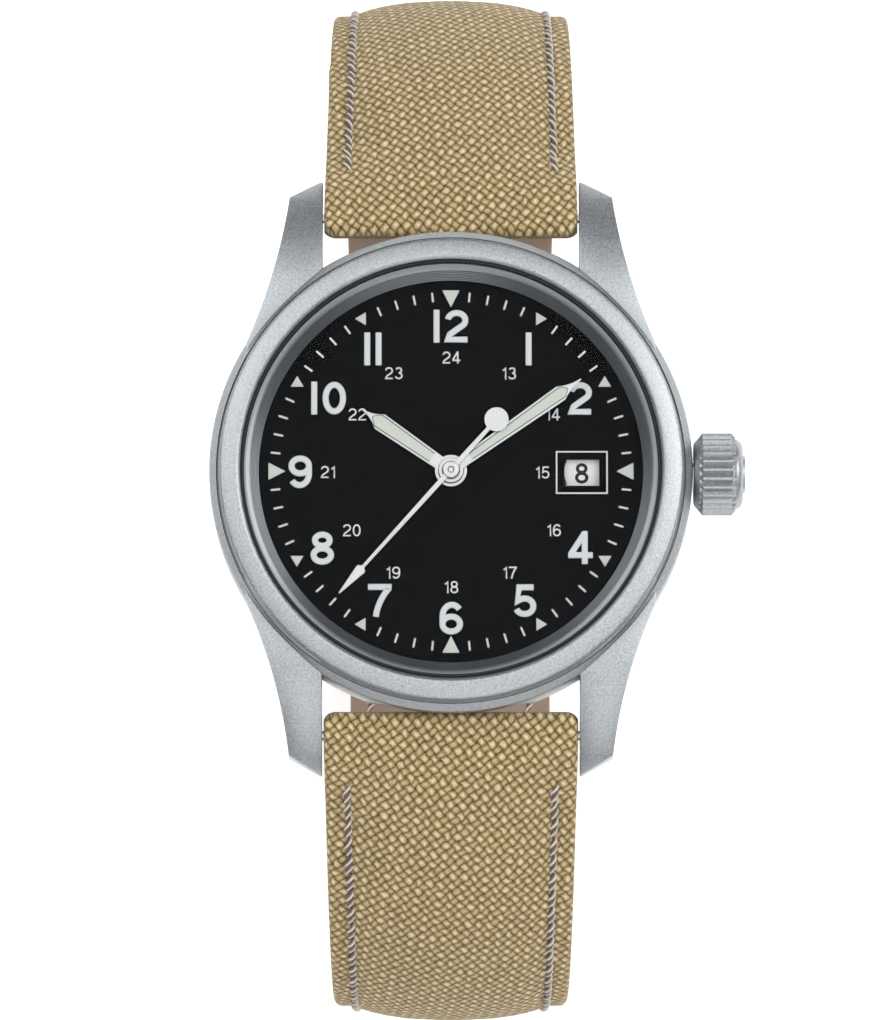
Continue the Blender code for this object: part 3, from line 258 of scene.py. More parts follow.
def turned_steel():
    # The sloping ring round the dial is turned on a lathe, which leaves fine rings.
    material, tree, shader, where = new_finish("turned_steel", "#868B8F", 0.3, 1.0)
    wave = add(tree, "ShaderNodeTexWave", [("Vector", where)], wave_type="RINGS", rings_direction="Z",
               in_Scale=1.0 / (0.9 * MM) * 0.16, in_Distortion=0.0)
    bump = add(tree, "ShaderNodeBump", [("Height", wave.outputs[1])], in_Strength=0.35, in_Distance=0.01 * MM)
    tree.links.new(bump.outputs[0], shader.inputs["Normal"])
    return material


def rolled_brass():
    # Rolled brass plate with a grained, lightly plated surface.
    material, tree, shader, where = new_finish("grained_brass", "#C9A765", 0.34, 1.0)
    noise = grain(tree, shader, where, 0.15, 0.25, 0.006)
    blend_colour(tree, shader, noise.outputs[0], "#B8934F", "#D6B877")
    return material


def dial_lacquer():
    # Matte black lacquer, sprayed and baked: almost no shine, with the finest orange peel.
    material, tree, shader, where = new_finish("matte_black_lacquer", "#050608", 0.62)
    shader.inputs["Specular IOR Level"].default_value = 0.04
    grain(tree, shader, where, 0.12, 0.15, 0.004)
    return material


def print_ink(name, colour, roughness):
    # Pad-printed enamel ink, a little uneven in its thickness.
    material, tree, shader, where = new_finish(name, colour, roughness)
    shader.inputs["Specular IOR Level"].default_value = 0.35
    grain(tree, shader, where, 0.2, 0.2, 0.004)
    return material


def lume_paint():
    # Luminous paint is a grainy, pale greenish white with no shine.
    material, tree, shader, where = new_finish("luminous_paint", "#D2D7CE", 0.75)
    noise = grain(tree, shader, where, 0.12, 0.5, 0.01)
    blend_colour(tree, shader, noise.outputs[0], "#C6CBC2", "#DCE0D8")
    return material


def sapphire():
    # Coated sapphire: the coating takes nearly all reflection away, so only a trace is left to see.
    material, _, shader, _ = new_finish("coated_sapphire", "#000000", 0.03)
    shader.inputs["Alpha"].default_value = 0.06
    return material


def seal_rubber():
    # Moulded nitrile rubber, dull black.
    material, tree, shader, where = new_finish("moulded_rubber", "#151515", 0.7)
    grain(tree, shader, where, 0.3, 0.2, 0.01)
    return material


def thread_cotton():
    # Waxed two-ply thread in a pale pinkish grey. The stitch mesh says where its plies are high and low, and
    # the finish paints shade where they are low and a highlight where they are high.
    material, tree, shader, where = new_finish("waxed_thread", "#C8B8A8", 0.7)
    grain(tree, shader, where, 0.08, 0.5, 0.02)
    ply_and_shade = add(tree, "ShaderNodeAttribute", attribute_name="ply_and_shade")
    # Painted shade in the grooves between the plies and a painted highlight on their ridges.
    blend_colour(tree, shader, ply_and_shade.outputs["Fac"], "#57483A", "#F0E6DC")
    shader.inputs["Sheen Weight"].default_value = 0.2
    return material


def lining_leather():
    # Smooth bovine lining leather: fine pores and a soft, uneven tan.
    material, tree, shader, where = new_finish("lining_leather", "#8A7466", 0.66)
    cells = add(tree, "ShaderNodeTexVoronoi", [("Vector", where)], in_Scale=1.0 / (0.55 * MM),
                feature="DISTANCE_TO_EDGE")
    noise = add(tree, "ShaderNodeTexNoise", [("Vector", where)], in_Scale=1.0 / (6.0 * MM), in_Detail=5.0)
    bump = add(tree, "ShaderNodeBump", [("Height", cells.outputs[0])], in_Strength=0.35,
               in_Distance=0.05 * MM)
    tree.links.new(bump.outputs[0], shader.inputs["Normal"])
    blend_colour(tree, shader, noise.outputs[0], "#7A6455", "#A08B7B")
    return material


# %% [markdown]
# ## Canvas
# The strap is a plain weave of thick sand-coloured yarn, laid at a slant. Every crossing shows one yarn on
# top, and the two directions take turns like the squares of a chequerboard. A yarn is round across its width
# and dips at its ends, so a pit is left at each corner, and fine lines along it are its plies. The same
# heights set the cloth's colour too: painted shade darkens the pits and the plies' grooves, and a painted
# highlight lightens the yarn tops. The pattern reads the strap's own UV map, which is in millimetres, so it
# bends with the cloth.

# %% Canvas finish
def canvas():
    material, tree, shader, _ = new_finish("plain_woven_canvas", "#C6AE85", 0.95)
    uv = add(tree, "ShaderNodeUVMap", uv_map="cloth_mm")
    wobble = add(tree, "ShaderNodeTexNoise", [("Vector", uv.outputs[0])], in_Scale=1.1, in_Detail=2.0)
    shift = add(tree, "ShaderNodeVectorMath", [(0, wobble.outputs["Color"])], operation="SCALE", in_Scale=0.5)
    swayed = add(tree, "ShaderNodeVectorMath", [(0, uv.outputs[0]), (1, shift.outputs[0])], operation="ADD")
    pitch = 0.61      # mm from yarn to yarn
    yarns = add(tree, "ShaderNodeMapping", [("Vector", swayed.outputs[0])],
                in_Rotation=(0.0, 0.0, math.radians(-38.0)), in_Scale=(1.0 / pitch, 1.0 / pitch, 1.0))
    axes = add(tree, "ShaderNodeSeparateXYZ", [(0, yarns.outputs[0])])
    fuzz = add(tree, "ShaderNodeTexNoise", [("Vector", yarns.outputs[0])], in_Scale=3.5, in_Detail=3.0)

    def yarn(across, along, lift):
        """The height of a yarn on top: round across, dipping at its ends, and lined by its plies."""
        backs = []
        for axis in (across, along):
            wave = add(tree, "ShaderNodeMath", [(0, axes.outputs[axis])], operation="PINGPONG", in_1=0.5)
            arch = add(tree, "ShaderNodeMath", [(0, wave.outputs[0])], operation="MULTIPLY", in_1=math.pi)
            backs.append(add(tree, "ShaderNodeMath", [(0, arch.outputs[0])], operation="SINE"))
        dip = add(tree, "ShaderNodeMath", [(0, backs[1].outputs[0])], operation="MULTIPLY_ADD",
                  in_1=0.6, in_2=0.4)
        body = add(tree, "ShaderNodeMath", [(0, backs[0].outputs[0]), (1, dip.outputs[0])],
                   operation="MULTIPLY")
        line = add(tree, "ShaderNodeMath", [(0, fuzz.outputs[0]), (2, axes.outputs[across])],
                   operation="MULTIPLY_ADD", in_1=0.3)
        ply_and_shade = add(tree, "ShaderNodeMath", [(0, line.outputs[0])], operation="PINGPONG", in_1=0.14)
        lined = add(tree, "ShaderNodeMath", [(0, ply_and_shade.outputs[0]), (2, body.outputs[0])],
                    operation="MULTIPLY_ADD", in_1=1.6)
        return add(tree, "ShaderNodeMath", [(0, lined.outputs[0])], operation="MULTIPLY", in_1=lift)

    warp, weft = yarn("X", "Y", 1.0), yarn("Y", "X", 0.72)
    cells = [add(tree, "ShaderNodeMath", [(0, axes.outputs[axis])], operation="FLOOR") for axis in "XY"]
    both = add(tree, "ShaderNodeMath", [(0, cells[0].outputs[0]), (1, cells[1].outputs[0])], operation="ADD")
    odd = add(tree, "ShaderNodeMath", [(0, both.outputs[0])], operation="PINGPONG", in_1=1.0)
    gap = add(tree, "ShaderNodeMath", [(0, warp.outputs[0]), (1, weft.outputs[0])], operation="SUBTRACT")
    woven = add(tree, "ShaderNodeMath", [(0, gap.outputs[0]), (1, odd.outputs[0]), (2, weft.outputs[0])],
                operation="MULTIPLY_ADD")
    height = add(tree, "ShaderNodeMath", [(0, fuzz.outputs[0]), (2, woven.outputs[0])],
                 operation="MULTIPLY_ADD", in_1=0.45)
    bump = add(tree, "ShaderNodeBump", [("Height", height.outputs[0])], in_Strength=1.0,
               in_Distance=0.16 * MM)
    tree.links.new(bump.outputs[0], shader.inputs["Normal"])
    # The height also sets the colour: the ramp's dark end is painted shade in the pits and grooves, and its
    # light end is a painted highlight on the yarn tops.
    share = add(tree, "ShaderNodeMath", [(0, height.outputs[0])], operation="MULTIPLY", in_1=0.66)
    painted_weave_light = add(tree, "ShaderNodeValToRGB", [(0, share.outputs[0])])
    stops = ((0.2, "#3A2E19"), (0.42, "#9B8455"), (0.66, "#C8B080"), (1.0, "#F3E5C2"))
    while len(painted_weave_light.color_ramp.elements) < len(stops):
        painted_weave_light.color_ramp.elements.new(0.5)
    for element, (place, colour) in zip(painted_weave_light.color_ramp.elements, stops):
        element.position = place
        element.color = linear(colour)
    patch = add(tree, "ShaderNodeTexNoise", [("Vector", uv.outputs[0])], in_Scale=0.35, in_Detail=3.0)
    tone = add(tree, "ShaderNodeMapRange", [("Value", patch.outputs[0])])
    tone.inputs["To Min"].default_value = 0.86
    tone.inputs["To Max"].default_value = 1.1
    tinted = add(tree, "ShaderNodeVectorMath", [(0, painted_weave_light.outputs[0]), ("Scale", tone.outputs[0])],
                 operation="SCALE")
    tree.links.new(tinted.outputs[0], shader.inputs["Base Color"])
    shader.inputs["Sheen Weight"].default_value = 0.2
    shader.inputs["Sheen Roughness"].default_value = 0.6
    shader.inputs["Specular IOR Level"].default_value = 0.15
    return material


FINISH = {
    "blasted_steel": blasted_steel(),
    "polished_steel": polished_steel(),
    "turned_steel": turned_steel(),
    "brass": rolled_brass(),
    "black_lacquer": dial_lacquer(),
    "white_lacquer": print_ink("white_lacquer", "#ECECE8", 0.4),
    "numeral_ink": print_ink("pale_grey_numeral_ink", "#D9DCDD", 0.55),
    "white_ink": print_ink("white_print_ink", "#E4E6E6", 0.55),
    "black_ink": print_ink("black_print_ink", "#101011", 0.5),
    "lume": lume_paint(),
    "hand_steel": polished_steel("satin_rhodium", "#D8DAD8", 0.3),
    "sapphire": sapphire(),
    "black_rubber": seal_rubber(),
    "sand_canvas": canvas(),
    "taupe_leather": lining_leather(),
    "thread": thread_cotton(),
}
print("finishes:", len(FINISH))

# %% Finishes on the frame's own nodes
for entry in frame["record"]["subparts"]:
    node_object = frame["nodes"][entry["node"]]
    node_object.data.materials.clear()
    node_object.data.materials.append(FINISH[entry["material_slot"]])

# %% [markdown]
# ## Shapes
# Two ways of making a mesh cover most of a watch. A turned piece is a profile spun round the dial's axis, and
# a plate is a flat outline with holes that gets a thickness. The strap is a loft through its own sections.


# %% Drawing helpers
def polar(radius, degrees, centre=(0.0, 0.0)):
    turn = math.radians(degrees)
    return (centre[0] + radius * math.cos(turn), centre[1] + radius * math.sin(turn))


def arc(centre, radii, start, end, steps):
    """Points of an elliptical arc, with angles in degrees."""
    turns = [math.radians(start + (end - start) * i / steps) for i in range(steps + 1)]
    return [(centre[0] + radii[0] * math.cos(t), centre[1] + radii[1] * math.sin(t)) for t in turns]


def arc_through(a, b, c, count):
    """Points from a to c on the circle that passes through a, b and c."""
    (ax, ay), (bx, by), (cx, cy) = a, b, c
    d = 2.0 * (ax * (by - cy) + bx * (cy - ay) + cx * (ay - by))
    a2, b2, c2 = ax * ax + ay * ay, bx * bx + by * by, cx * cx + cy * cy
    ox = (a2 * (by - cy) + b2 * (cy - ay) + c2 * (ay - by)) / d
    oy = (a2 * (cx - bx) + b2 * (ax - cx) + c2 * (bx - ax)) / d
    radius = math.hypot(ax - ox, ay - oy)
    start = math.atan2(ay - oy, ax - ox)
    sweep = (math.atan2(cy - oy, cx - ox) - start + math.pi) % TAU - math.pi
    return [(ox + radius * math.cos(start + sweep * i / (count - 1)),
             oy + radius * math.sin(start + sweep * i / (count - 1))) for i in range(count)]


# %% Mesh helpers; meshes are drawn at one unit to the millimetre and scaled to metres by keep()
def mesh_from(work, name="drawn", recalculate=True):
    if recalculate:
        bmesh.ops.remove_doubles(work, verts=work.verts, dist=1e-5)
        bmesh.ops.recalc_face_normals(work, faces=work.faces)
    mesh = bpy.data.meshes.new(name)
    work.to_mesh(mesh)
    work.free()
    return mesh


def turned(profile, steps=256, ring=True):
    """Spin (radius, height) points round Z. A ring's profile closes on itself; another ends on the axis."""
    work = bmesh.new()
    spun = []
    for i in range(steps):
        turn = TAU * i / steps
        spun.append([work.verts.new((r * math.cos(turn), r * math.sin(turn), z)) for r, z in profile])
    count = len(profile)
    for i in range(steps):
        here, there = spun[i], spun[(i + 1) % steps]
        for j in range(count if ring else count - 1):
            k = (j + 1) % count
            corners = [here[j], here[k], there[k], there[j]]
            if profile[j][0] == 0.0:
                corners.remove(there[j])
            if profile[k][0] == 0.0:
                corners.remove(there[k])
            if len(corners) > 2:
                work.faces.new(corners)
    return mesh_from(work)


def plate(loops, z0, z1):
    """A flat outline with holes, from z0 to z1."""
    curve = bpy.data.curves.new("outline", "CURVE")
    curve.dimensions = "2D"
    curve.fill_mode = "BOTH"
    curve.extrude = (z1 - z0) / 2.0
    for loop in loops:
        spline = curve.splines.new("POLY")
        spline.points.add(len(loop) - 1)
        for point, (x, y) in zip(spline.points, loop):
            point.co = (x, y, 0.0, 1.0)
        spline.use_cyclic_u = True
    mesh = settled(bpy.data.objects.new("outline", curve))
    mesh.transform(Matrix.Translation((0.0, 0.0, (z0 + z1) / 2.0)))
    return mesh


def settled(obj):
    """The welded mesh that an object's modifiers leave; the object is removed."""
    bpy.context.scene.collection.objects.link(obj)
    graph = bpy.context.evaluated_depsgraph_get()
    graph.update()
    mesh = bpy.data.meshes.new_from_object(obj.evaluated_get(graph))
    bpy.data.objects.remove(obj)
    work = bmesh.new()
    work.from_mesh(mesh)
    bmesh.ops.remove_doubles(work, verts=work.verts, dist=1e-5)
    bmesh.ops.recalc_face_normals(work, faces=work.faces)
    work.to_mesh(mesh)
    work.free()
    return mesh


def combined(base, tool, operation):
    """Join a tool to a base, or cut it away."""
    body = bpy.data.objects.new("body", base)
    cutter = bpy.data.objects.new("cutter", tool)
    bpy.context.scene.collection.objects.link(cutter)
    boolean = body.modifiers.new("Combine", "BOOLEAN")
    boolean.operation = operation
    boolean.object = cutter
    result = settled(body)
    bpy.data.objects.remove(cutter)
    return result


def bevelled(mesh, width, segments=2, angle=30.0):
    """Round the edges that are sharper than an angle."""
    body = bpy.data.objects.new("body", mesh)
    bevel = body.modifiers.new("Round", "BEVEL")
    bevel.width = width
    bevel.segments = segments
    bevel.limit_method = "ANGLE"
    bevel.angle_limit = math.radians(angle)
    bevel.use_clamp_overlap = True
    return settled(body)


def merged(meshes):
    """Several meshes as one."""
    work = bmesh.new()
    for mesh in meshes:
        work.from_mesh(mesh)
    return mesh_from(work, recalculate=False)


def lying(mesh, y=0.0, z=0.0):
    """Lay a piece that is drawn about Z so that its axis runs along X."""
    mesh.transform(Matrix.Translation((0.0, y, z)) @ Matrix.Rotation(math.radians(90.0), 4, "Y"))
    return mesh


def keep(name, mesh, finish, body, replaces=(), angle=30.0):
    """Scale a drawn piece to metres and make it a finished piece that rides on a body."""
    mesh.transform(Matrix.Scale(MM, 4))
    mesh.name = name
    mesh.materials.clear()
    mesh.materials.append(FINISH[finish])
    mesh.shade_smooth()
    mesh.set_sharp_from_angle(angle=math.radians(angle))
    obj = bpy.data.objects.new(name, mesh)
    bpy.context.scene.collection.objects.link(obj)
    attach(obj, body)
    if replaces:
        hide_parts(*replaces)
    print(name, len(mesh.polygons), "faces")
    return obj


# %% [markdown]
# ## Case
# The case is one forging: a round body with four flared lugs that slope down to the strap. The flare is an
# arc in plan and the slope an arc in side view, so the lugs are the plan outline cut by the side outline.
# The round body joins them, the bores are cut, and a small bevel breaks every edge as blasting does.

# %% Case
LUG_GAP = 20.3
SCOOP_R = 2.75        # the room cut for the strap's end
PIN_HOLE_R, PIN_HOLE_DEEP = 0.46, 1.35
DIAL_R = -dial_low[0]
BACK_THREAD_R = 15.59


def lug_profile():
    """The lugs from the side: a long arc down to each tip and a shallow arc back under it."""
    top = arc_through((12.5, 7.0), (18.9, 5.7), (LUG_TIP - 0.15, 2.4), 25)
    under = arc_through((LUG_TIP - 0.75, 0.5), (17.0, 1.1), (12.0, 1.3), 9)
    right = top + [(LUG_TIP, 1.5), (LUG_TIP - 0.1, 0.8)] + under
    return right + [(-y, z) for y, z in reversed(right)]


def lug_outline():
    """The lugs from above: a flare from the round body out to each square end."""
    half_gap = LUG_GAP / 2.0
    flare = arc_through((16.1, 10.05), (13.95, 16.0), (12.75, LUG_TIP - 1.5), 25)
    quarter = flare + [(half_gap, LUG_TIP), (half_gap, 14.5)]
    upper = quarter + [(-x, y) for x, y in reversed(quarter)]
    return upper + [(-x, -y) for x, y in upper]


def case_body():
    """The round body and lugs, grooved round the bezel's foot, with bores, scoops and pin holes."""
    body = turned([(0.0, CASE_TOP), (BEZEL_R - 0.2, CASE_TOP), (BEZEL_R - 0.16, CASE_TOP - 0.6),
                   (BEZEL_R + 0.17, CASE_TOP - 0.6), (BEZEL_R + 0.18, CASE_TOP - 0.05),
                   (BEZEL_R + 0.24, CASE_TOP), (CASE_R - 0.14, 6.78), (CASE_R - 0.04, 6.66), (CASE_R, 6.5),
                   (CASE_R, 2.3), (CASE_R - 0.06, 2.05), (CASE_R - 0.25, 1.7), (18.1, 1.2), (18.0, 1.15),
                   (0.0, 1.15)], 256, ring=False)
    side_view = plate([lug_profile()], -CASE_R, CASE_R)
    side_view.transform(Matrix(((0, 0, 1, 0), (1, 0, 0, 0), (0, 1, 0, 0), (0, 0, 0, 1))))
    lugs = combined(plate([lug_outline()], 0.0, CASE_TOP), side_view, "INTERSECT")
    lugs = bevelled(lugs, 0.14, 2, 35.0)
    case = combined(body, lugs, "UNION")
    bore = turned([(0.0, 8.3), (16.0, 8.3), (16.0, 6.38), (DIAL_R + 0.1, 6.38), (DIAL_R + 0.1, 5.9),
                   (15.2, 5.9), (15.2, 2.4), (BACK_THREAD_R, 2.4), (BACK_THREAD_R, 1.5), (16.1, 1.5),
                   (16.1, 0.15), (0.0, 0.15)], 256, ring=False)
    case = combined(case, bore, "DIFFERENCE")
    tube_hole = turned([(0.0, 14.2), (1.19, 14.2), (1.19, 20.0), (0.0, 20.0)], 48, ring=False)
    case = combined(case, lying(tube_hole, z=STEM_Z), "DIFFERENCE")
    half_gap = LUG_GAP / 2.0
    for side in (1, -1):
        scoop = turned([(0.0, -half_gap), (SCOOP_R, -half_gap), (SCOOP_R, half_gap), (0.0, half_gap)], 96,
                       ring=False)
        case = combined(case, lying(scoop, side * BAR_Y, BAR_Z), "DIFFERENCE")
        for x in (half_gap, -half_gap - PIN_HOLE_DEEP):
            end = x + PIN_HOLE_DEEP
            hole = turned([(0.0, x), (PIN_HOLE_R, x), (PIN_HOLE_R, end), (0.0, end)], 32, ring=False)
            case = combined(case, lying(hole, side * BAR_Y, BAR_Z), "DIFFERENCE")
    return case


keep("case", case_body(), "blasted_steel", "case", ["mid_case"], angle=28.0)

# %% Bezel, rehaut, seal and crystal
BEZEL_BORE, GLASS_R = 16.5, 16.2
bezel_base = bezel_low[2]
slope = arc_through((BEZEL_R - 0.12, BEZEL_TOP - 0.3), (17.5, BEZEL_TOP - 0.12), (16.85, BEZEL_TOP), 12)
foot = [(BEZEL_BORE, bezel_base), (BEZEL_R - 0.1, bezel_base), (BEZEL_R - 0.03, bezel_base + 0.1),
        (BEZEL_R, bezel_base + 0.22), (BEZEL_R, BEZEL_TOP - 0.5), (BEZEL_R - 0.04, BEZEL_TOP - 0.37)]
lip = [(16.78, BEZEL_TOP - 0.02), (16.56, BEZEL_TOP - 0.16), (BEZEL_BORE, BEZEL_TOP - 0.24)]
keep("bezel_ring", turned(foot + slope + lip), "blasted_steel", "case", ["bezel"])
glass_low = crystal_low[2]
dome = arc_through((15.75, 9.3), (8.5, 9.45), (0.0, crystal_high[2]), 16)
glass_edge = [(0.0, glass_low), (16.1, glass_low), (GLASS_R, glass_low + 0.1), (GLASS_R, 8.85), (16.16, 8.95)]
keep("crystal_dome", turned(glass_edge + dome, 192, ring=False), "sapphire", "case", ["crystal"])
seal = [(16.24, glass_low), (16.46, glass_low), (16.46, 8.68), (16.4, 8.75), (16.3, 8.75), (16.24, 8.68)]
keep("crystal_seal", turned(seal, 192), "black_rubber", "case", ["crystal_gasket"])
# The sloping ring is turned in steps, and each step's edge catches the light as a fine ring.
STEPS = 7
cone = []
for i in range(STEPS):
    share = i / STEPS
    radius, height = 15.1 + 0.7 * share, DIAL_Z + 0.07 + 1.46 * share
    cone += [(radius, height), (radius + 0.02, height + 0.15), (radius + 0.075, height + 0.17)]
cone_back = [(15.95, DIAL_Z + 0.07), (15.95, 7.4), (16.4, 7.4), (16.4, 7.88), (15.8, 7.88)]
keep("rehaut", turned(cone[::-1] + cone_back), "turned_steel", "case", ["rehaut_ring"],
     angle=60.0)

# %% Dial
WINDOW = (10.28, -0.09)
WINDOW_SIZE = (2.75, 2.1)


def rectangle(centre, size):
    (x, y), half_w, half_h = centre, size[0] / 2.0, size[1] / 2.0
    return [(x - half_w, y - half_h), (x + half_w, y - half_h),
            (x + half_w, y + half_h), (x - half_w, y + half_h)]


dial_plate = plate([arc((0, 0), (DIAL_R, DIAL_R), 0, 358.125, 191), arc((0, 0), (1.15, 1.15), 0, 352.5, 47),
                    rectangle(WINDOW, WINDOW_SIZE)], dial_low[2], DIAL_Z)
keep("dial_plate", bevelled(dial_plate, 0.03, 1), "black_lacquer", "case", ["dial"])

# %% [markdown]
# ## Numerals
# A numeral with an even stroke is a pen path: a few straight runs and arcs. Each digit is drawn once in a box
# one unit high, and a raised stroke with a small chamfer is swept along it. The large hours and the small
# 24-hour numbers use the same paths with a different stroke.


# %% Digit paths in a box one unit high
def digit_paths(digit, stroke, plain_one=True):
    """Pen paths of a digit, and its width. stroke is the pen's width as a share of the height."""
    m = stroke / 2.0
    wide = 0.53 + stroke
    mid, right = wide / 2.0, wide - m
    reach = mid - m
    if digit == "1" and plain_one:
        return [[(m, 0.0), (m, 1.0)]], stroke
    if digit == "1":
        return [[(0.06, 0.74), (0.2, 0.8), (0.3, 1.0 - m), (0.3, 0.0)]], 0.3 + m
    if digit == "0":
        return [arc((mid, 0.5), (reach, 0.5 - m), 90, 450, 40)], wide
    if digit == "2":
        top = arc((mid, 0.71 - m * 0.3), (reach, 0.29 - m * 0.7), 172, -38, 18)
        return [top + [(m + 0.06, 0.16 + m), (m, m), (right + m * 0.7, m)]], wide
    if digit == "3":
        upper = arc((mid, 0.735), (reach * 0.85, 0.265 - m), 160, -75, 14)
        lower = arc((mid, 0.285), (reach, 0.285 - m), 75, -165, 16)
        return [upper + lower], wide
    if digit == "4":
        stem = wide * 0.7
        return [[(stem - m * 0.1, 1.0 - m * 0.7), (m * 0.9, 0.31)], [(0.0, 0.27), (wide + m * 0.3, 0.27)],
                [(stem, 0.0), (stem, 1.0)]], wide
    if digit == "5":
        bowl = arc((mid - 0.01, 0.33), (reach, 0.33 - m), 128, -158, 20)
        return [[(right, 1.0 - m), (m + 0.09, 1.0 - m), (m + 0.03, 0.47)] + bowl[1:]], wide
    if digit == "6":
        bowl = arc((mid, 0.32), (reach, 0.32 - m), 90, 450, 32)
        back = arc((mid + 0.02, 0.56), (reach + 0.02, 0.44 - m), 185, 38, 14)
        return [bowl, [(m, 0.34)] + back], wide
    if digit == "7":
        lean = arc_through((right, 1.0 - m * 1.6), (mid + 0.03, 0.5), (wide * 0.33, 0.0), 8)
        return [[(0.0, 1.0 - m), (right, 1.0 - m)] + lean], wide
    if digit == "8":
        return [arc((mid, 0.735), (reach * 0.84, 0.265 - m), 90, 450, 28),
                arc((mid, 0.285), (reach, 0.285 - m * 0.9), 90, 450, 32)], wide
    paths, _ = digit_paths("6", stroke)
    return [[(wide - x, 1.0 - y) for x, y in path] for path in paths], wide


def raised_stroke(work, path, width, low, high, chamfer):
    """Sweep a chamfered flat section along a path; a path that comes back to its start is closed."""
    closed = math.dist(path[0], path[-1]) < 1e-6
    points = path[:-1] if closed else path
    half = width / 2.0
    section = [(-half, low), (-half, high - chamfer), (-half + chamfer, high), (half - chamfer, high),
               (half, high - chamfer), (half, low)]
    rows = []
    for i, (x, y) in enumerate(points):
        before = points[i - 1] if closed or i > 0 else None
        after = points[(i + 1) % len(points)] if closed or i < len(points) - 1 else None
        into = (Vector((x, y)) - Vector(before)).normalized() if before else None
        out = (Vector(after) - Vector((x, y))).normalized() if after else None
        into, out = into or out, out or into
        along = (into + out).normalized()
        miter = min(1.6, 1.0 / max(0.35, along.dot(out)))
        side = Vector((-along.y, along.x)) * miter
        rows.append([work.verts.new((x - side.x * a, y - side.y * a, z)) for a, z in section])
    pairs = list(zip(rows, rows[1:])) + ([(rows[-1], rows[0])] if closed else [])
    for here, there in pairs:
        for j in range(len(section)):
            k = (j + 1) % len(section)
            work.faces.new((here[j], here[k], there[k], there[j]))
    if not closed:
        work.faces.new(rows[0][::-1])
        work.faces.new(rows[-1])


STROKE_STEP = 0.006     # where strokes cross, each next one is this much higher, so no two tops share a plane


def number(text, centre, height, stroke, low, high, chamfer, plain_one=True, spacing=0.16, widen=1.0):
    """A number centred on a place."""
    work = bmesh.new()
    glyphs = [digit_paths(digit, stroke / height, plain_one) for digit in text]
    total = sum(width for _, width in glyphs) + spacing * (len(glyphs) - 1)
    pen = -total / 2.0
    for paths, width in glyphs:
        for layer, path in enumerate(paths):
            placed = [(centre[0] + (pen + x) * height * widen, centre[1] + (y - 0.5) * height)
                      for x, y in path]
            raised_stroke(work, placed, stroke, low, high + STROKE_STEP * layer, chamfer)
        pen += width + spacing
    return mesh_from(work)


# %% Hour numerals and the 24-hour numbers
HOURS = {"12": (0.0, 11.49), "1": (6.11, 9.69), "2": (10.16, 5.76), "4": (10.13, -6.04), "5": (5.80, -10.23),
         "6": (0.02, -11.61), "7": (-5.58, -10.20), "8": (-10.10, -6.07), "9": (-11.84, -0.05),
         "10": (-9.62, 5.79), "11": (-6.14, 9.69)}
AFTERNOON = {"24": (0.03, 9.02), "13": (4.57, 7.76), "14": (8.0, 4.51), "15": (7.19, -0.09),
             "16": (8.08, -4.66), "17": (4.62, -8.01), "18": (0.02, -9.15), "19": (-4.54, -8.01),
             "20": (-7.78, -4.66), "21": (-9.66, -0.05), "22": (-7.35, 4.51), "23": (-4.49, 7.78)}
INK_TOP = DIAL_Z + 0.02
NUMERAL_TOP = DIAL_Z + 0.16
SUNK = DIAL_Z - 0.02      # the foot of each mark lies just inside the dial
HOUR_HEIGHT, HOUR_STROKE = 2.59, 0.48
SMALL_HEIGHT, SMALL_STROKE = 0.96, 0.118
hours = [number(text, place, HOUR_HEIGHT, HOUR_STROKE, SUNK, NUMERAL_TOP, 0.06)
         for text, place in HOURS.items()]
keep("hour_numerals", merged(hours), "numeral_ink", "case", angle=20.0)
small = [number(text, place, SMALL_HEIGHT, SMALL_STROKE, SUNK, INK_TOP, 0.01, False, 0.14)
         for text, place in AFTERNOON.items()]
keep("afternoon_numbers", merged(small), "white_ink", "case")

# %% [markdown]
# ## Minute track
# Sixty ticks on one circle are one tick, repeated. Geometry Nodes place them: a mesh circle gives the points,
# each copy is turned by its index, and the named inputs hold the count, the radius and the tick's size. The
# ticks under the hour triangles are left out by their index.


# %% Geometry Nodes helpers
def new_group(name, inputs):
    """A node group with a mesh output and named inputs of (name, type, default)."""
    group = bpy.data.node_groups.new(name, "GeometryNodeTree")
    group.interface.new_socket("Mesh", in_out="OUTPUT", socket_type="NodeSocketGeometry")
    for label, kind, default in inputs:
        socket = group.interface.new_socket(label, in_out="INPUT", socket_type=kind)
        if default is not None:
            socket.default_value = default
    return group, add(group, "NodeGroupInput"), add(group, "NodeGroupOutput")


def grown(group, base, values):
    """The plain mesh that a node group makes on a base mesh, with its inputs set by their identifiers."""
    obj = bpy.data.objects.new("grown", base)
    modifier = obj.modifiers.new("Nodes", "NODES")
    modifier.node_group = group
    for item in group.interface.items_tree:
        if item.in_out == "INPUT" and item.name in values:
            modifier[item.identifier] = values[item.name]
    bpy.context.scene.collection.objects.link(obj)
    graph = bpy.context.evaluated_depsgraph_get()
    graph.update()
    mesh = bpy.data.meshes.new_from_object(obj.evaluated_get(graph))
    bpy.data.objects.remove(obj)
    return mesh


